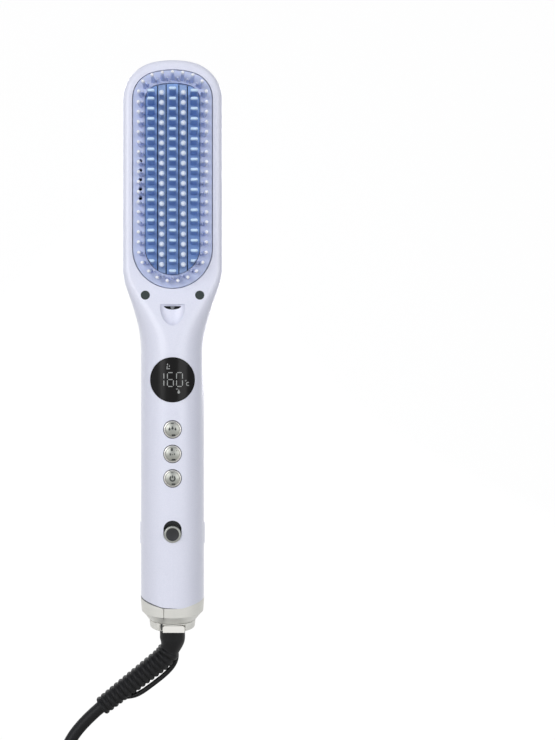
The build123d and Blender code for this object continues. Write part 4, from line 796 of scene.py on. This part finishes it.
buttonPlan = {"face": 18.1, "dome": 0.7, "radius": 3.45, "heights": {"steam": 24.5, "mode": 12.75, "power": 1.0}}
buttonMarks = {
    "steam": [drop(-1.45, 24.75, 0.85), drop(0, 25.25, 0.95), drop(1.45, 24.75, 0.85), bar(0.5, 21.75, 1.9, 0.8),
              bar(-0.1, 27.3, 1.5, 0.35)],
    "mode": [bar(-0.3, 14.9, 1.0, 1.5), bar(-1.0, 12.55, 0.55, 1.0), bar(0.95, 12.7, 0.5, 0.8),
             bar(0, 12.45, 0.5, 0.35), bar(0.5, 10.0, 1.9, 0.8), bar(2.0, 14.3, 0.4, 0.4)],
    "power": ringPieces(0, 1.0, 1.5, 0.85, 125, 415, 16) + [
        bar(0, 1.9, 0.55, 1.2), bar(0.5, -1.75, 1.9, 0.75), bar(-0.2, 3.75, 1.4, 0.35)],
}


def domeSurface(plan, centreZ):
    ball = (plan["radius"] ** 2 + plan["dome"] ** 2) / (2 * plan["dome"])

    def surface(x, z):
        return -plan["face"] + ball - math.sqrt(ball ** 2 - x ** 2 - (z - centreZ) ** 2)
    return surface


for title, centreZ in buttonPlan["heights"].items():
    makeMarks(title + "Mark", buttonMarks[title], domeSurface(buttonPlan, centreZ), markPlan["buttonLift"],
              title + "_button", "mark")

bezelShadePlan = {"radius": 4.3, "thick": 0.145, "steps": 48, "sides": 8}


def bezelRing(plan, centreZ, angle):
    places = []
    for side in range(plan["sides"]):
        turn = 2 * math.pi * side / plan["sides"]
        out = plan["radius"] + plan["thick"] * math.cos(turn)
        depth = frontDepth(plan["radius"] * math.cos(angle)) + plan["thick"] * math.sin(turn)
        places.append((out * math.cos(angle), -depth, centreZ + out * math.sin(angle)))
    return places


def makeBezelShadeLines(plan, heights):
    # a thin dark ring of painted shade where each bezel meets the curved handle, standing in for the shadow in the gap
    shape = bmesh.new()
    for centreZ in heights:
        angles = [2 * math.pi * k / plan["steps"] for k in range(plan["steps"])]
        joinRings(shape, [addRing(shape, bezelRing(plan, centreZ, angle)) for angle in angles], closed=True)
    made = makePiece("bezelShadeLines", shape, "seamShade", "body")
    made.data.shade_smooth()


makeBezelShadeLines(bezelShadePlan, buttonPlan["heights"].values())
print("marks made")


# Split sleeve round the collar's top, higher at the sides, with a dark strip of painted shade along the seam above it
# and one along the slot below

quarter = math.pi / 2
sleevePlan = {"splitX": -4.2336, "splitWidth": 0.34, "top": -61.62, "corner": -61.65, "foot": -66.2, "proud": 0.06,
              "footProud": -0.32, "sunk": -0.5, "riseScale": 3.16, "risePower": 0.8, "riseStart": 1.24, "steps": 40}


def makeLoop(title, columns, finish, body):
    shape = bmesh.new()
    joinRings(shape, [addRing(shape, column) for column in columns])
    return makePiece(title, shape, finish, body)


def spanTurns(spans, steps):
    return [(start + (end - start) * k / steps, quadrant) for start, end, quadrant in spans for k in range(steps + 1)]


def sleeveTop(plan, x):
    share = abs(x) / bodySkin["halfWidth"]
    return plan["top"] + max(0, plan["riseScale"] * share ** plan["risePower"] - plan["riseStart"])


def skinColumn(turn, quadrant, section):
    return [skinPoint(turn, quadrant, out) + (z,) for out, z in section]


def makeSleeve(plan):
    # from the split's right edge round the back to its left edge
    split, half = -plan["splitX"] - bodySkin["flat"], plan["splitWidth"] / 2
    right, left = (3 * quarter - math.asin((split + shift) / skinReach) for shift in (-half, half))
    spans = [(right, 3 * quarter, 2), (3 * quarter, 4 * quarter, 3), (0, quarter, 0), (quarter, 2 * quarter, 1),
             (2 * quarter, left, 2)]
    columns = []
    for turn, quadrant in spanTurns(spans, plan["steps"]):
        top = sleeveTop(plan, skinPoint(turn, quadrant, 0)[0])
        columns.append(skinColumn(turn, quadrant, (
            (plan["proud"], top), (plan["proud"], plan["corner"]), (plan["footProud"], plan["foot"]),
            (plan["sunk"], plan["foot"]), (plan["sunk"], top))))
    return makeLoop("collarSleeve", columns, "collarSilverBrightened", "body")


collarShadePlan = {"least": 0.02, "height": 0.65, "power": 0.6, "endX": 2.3, "proud": 0.05, "sunk": -0.3, "steps": 40}


def makeCollarShadeLine(plan):
    # a dark strip of painted shade along the collar's top joint, widest at the left side, from right of the middle
    # round the left side to the middle of the back
    start = 4 * quarter - math.acos((plan["endX"] - bodySkin["flat"]) / skinReach)
    spans = [(start, 3 * quarter, 3), (3 * quarter, 2 * quarter, 2), (2 * quarter, quarter, 1)]
    columns = []
    for turn, quadrant in spanTurns(spans, plan["steps"]):
        x = skinPoint(turn, quadrant, 0)[0]
        share = max((plan["endX"] - x) / (plan["endX"] + bodySkin["halfWidth"]), 0)
        low = sleeveTop(sleevePlan, x)
        high = low + plan["least"] + plan["height"] * share ** plan["power"]
        columns.append(skinColumn(turn, quadrant, (
            (plan["proud"], low), (plan["proud"], high), (plan["sunk"], high), (plan["sunk"], low))))
    return makeLoop("collarShadeLine", columns, "seamShade", "body")


swivelSlotShadePlan = {"x": -5.3, "topWidth": 1.05, "footWidth": 0.6, "top": -70.97, "foot": -74.15, "topRadius": 11.6,
                  "footRadius": 11.2, "proud": 0.05, "sunk": 0.3, "steps": 6}


def makeSwivelSlotShade(plan):
    # a narrow dark strip of painted shade lying on the ring, where the slot between the swivel ring and its block is
    # shaded
    columns = []
    for k in range(plan["steps"] + 1):
        share = k / plan["steps"]
        z = plan["top"] + (plan["foot"] - plan["top"]) * share
        radius = plan["topRadius"] + (plan["footRadius"] - plan["topRadius"]) * share
        half = (plan["topWidth"] + (plan["footWidth"] - plan["topWidth"]) * share) / 2
        corners = ((-half, plan["proud"]), (half, plan["proud"]), (half, -plan["sunk"]), (-half, -plan["sunk"]))
        columns.append([(plan["x"] + side, -math.sqrt((radius + out) ** 2 - (plan["x"] + side) ** 2), z)
                        for side, out in corners])
    return makeLoop("swivelSlotShade", columns, "black", "cord_swivel")


makeSleeve(sleevePlan)
makeCollarShadeLine(collarShadePlan)
makeSwivelSlotShade(swivelSlotShadePlan)
print("collar sleeve made")


# Floor, backdrop and light

stagePlan = {"floor": -204.75, "half": 1500.0, "front": -1200.0, "back": 900.0, "bend": 300.0, "bendSteps": 12,
             "height": 1600.0, "paper": (0.5, 0.5, 0.5, 1), "glow": 1.09, "glowShare": 0.88}


def makePaper(plan):
    # paper for the light, and a glow for what is seen directly, through the tank or mirrored
    material, tree, shader = startMaterial("paperWhite")
    tree.nodes.remove(shader)
    paper = tree.nodes.new("ShaderNodeBsdfDiffuse")
    paper.inputs["Color"].default_value = plan["paper"]
    glow = tree.nodes.new("ShaderNodeEmission")
    glow.inputs["Strength"].default_value = plan["glow"]
    path = tree.nodes.new("ShaderNodeLightPath").outputs
    seen = maths(tree, "MAXIMUM", path["Is Camera Ray"], path["Is Transmission Ray"])
    share = maths(tree, "MULTIPLY", maths(tree, "MAXIMUM", seen, path["Is Glossy Ray"]), plan["glowShare"])
    blend = tree.nodes.new("ShaderNodeMixShader")
    for source, target in zip((share, paper.outputs[0], glow.outputs[0]), blend.inputs):
        tree.links.new(source, target)
    tree.links.new(blend.outputs[0], tree.nodes["Material Output"].inputs["Surface"])
    return material


def makeBackdrop(plan):
    shape = bmesh.new()
    bendY, bend = plan["back"] - plan["bend"], plan["bend"]
    profile = [(plan["front"], plan["floor"]), (bendY, plan["floor"])]
    for k in range(1, plan["bendSteps"] + 1):
        angle = quarter * k / plan["bendSteps"]
        profile.append((bendY + bend * math.sin(angle), plan["floor"] + bend * (1 - math.cos(angle))))
    profile.append((plan["back"], plan["height"]))
    rows = [addRing(shape, [(x, y, z) for x in (-plan["half"], plan["half"])]) for y, z in profile]
    for low, high in zip(rows, rows[1:]):
        shape.faces.new((low[0], low[1], high[1], high[0]))
    mesh = bpy.data.meshes.new("paperSweep")
    shape.to_mesh(mesh)
    shape.free()
    mesh.shade_smooth()
    mesh.materials.append(makePaper(plan))
    placeObject("paperSweep", mesh)


makeBackdrop(stagePlan)

lampAim = Vector((0, 0, 0.05))
lampPlan = [   # name, place, size, watts
    ("keyLamp", (-0.74, -1.0, 0.42), 0.9, 8.5),
    ("fillLamp", (0.74, -1.02, 0.2), 0.9, 5.1),
    ("backLampLeft", (-0.35, 0.75, 0.4), 0.6, 3.5),
    ("backLampRight", (0.4, 0.72, 0.3), 0.6, 3.0),
]


def makeLamps(plan):
    for title, place, size, watts in plan:
        lamp = bpy.data.lights.new(title, "AREA")
        lamp.shape = "DISK"
        lamp.size = size
        lamp.energy = watts
        made = placeObject(title, lamp)
        made.location = place
        made.rotation_euler = (lampAim - Vector(place)).to_track_quat("-Z", "Y").to_euler()


skyPlan = {"diffuse": 0.3, "mirrorLeft": 1.0, "mirrorRight": 0.7, "seen": 1, "tone": (0.88, 0.91, 1, 1),
           "seenTone": (1, 1, 1, 1)}


def dressWorld(tree, plan):
    # white for the camera, a left to right fade for reflections, a dim even fill for the rest
    background = tree.nodes["Background"].inputs
    across = splitPlace(tree, tree.nodes.new("ShaderNodeTexCoord").outputs["Generated"])["X"]
    fade = mapRange(tree, across, From_Min=-1, To_Min=plan["mirrorLeft"], To_Max=plan["mirrorRight"])
    path = tree.nodes.new("ShaderNodeLightPath").outputs
    mirrored = mixValues(tree, path["Is Glossy Ray"], plan["diffuse"], fade)
    tree.links.new(mixValues(tree, path["Is Camera Ray"], mirrored, plan["seen"]), background["Strength"])
    tree.links.new(mixColors(tree, path["Is Camera Ray"], plan["tone"], plan["seenTone"]), background["Color"])


makeLamps(lampPlan)
world = bpy.data.worlds.new("studio")
bpy.context.scene.world = world
world.use_nodes = True
dressWorld(world.node_tree, skyPlan)
print("lamps placed")
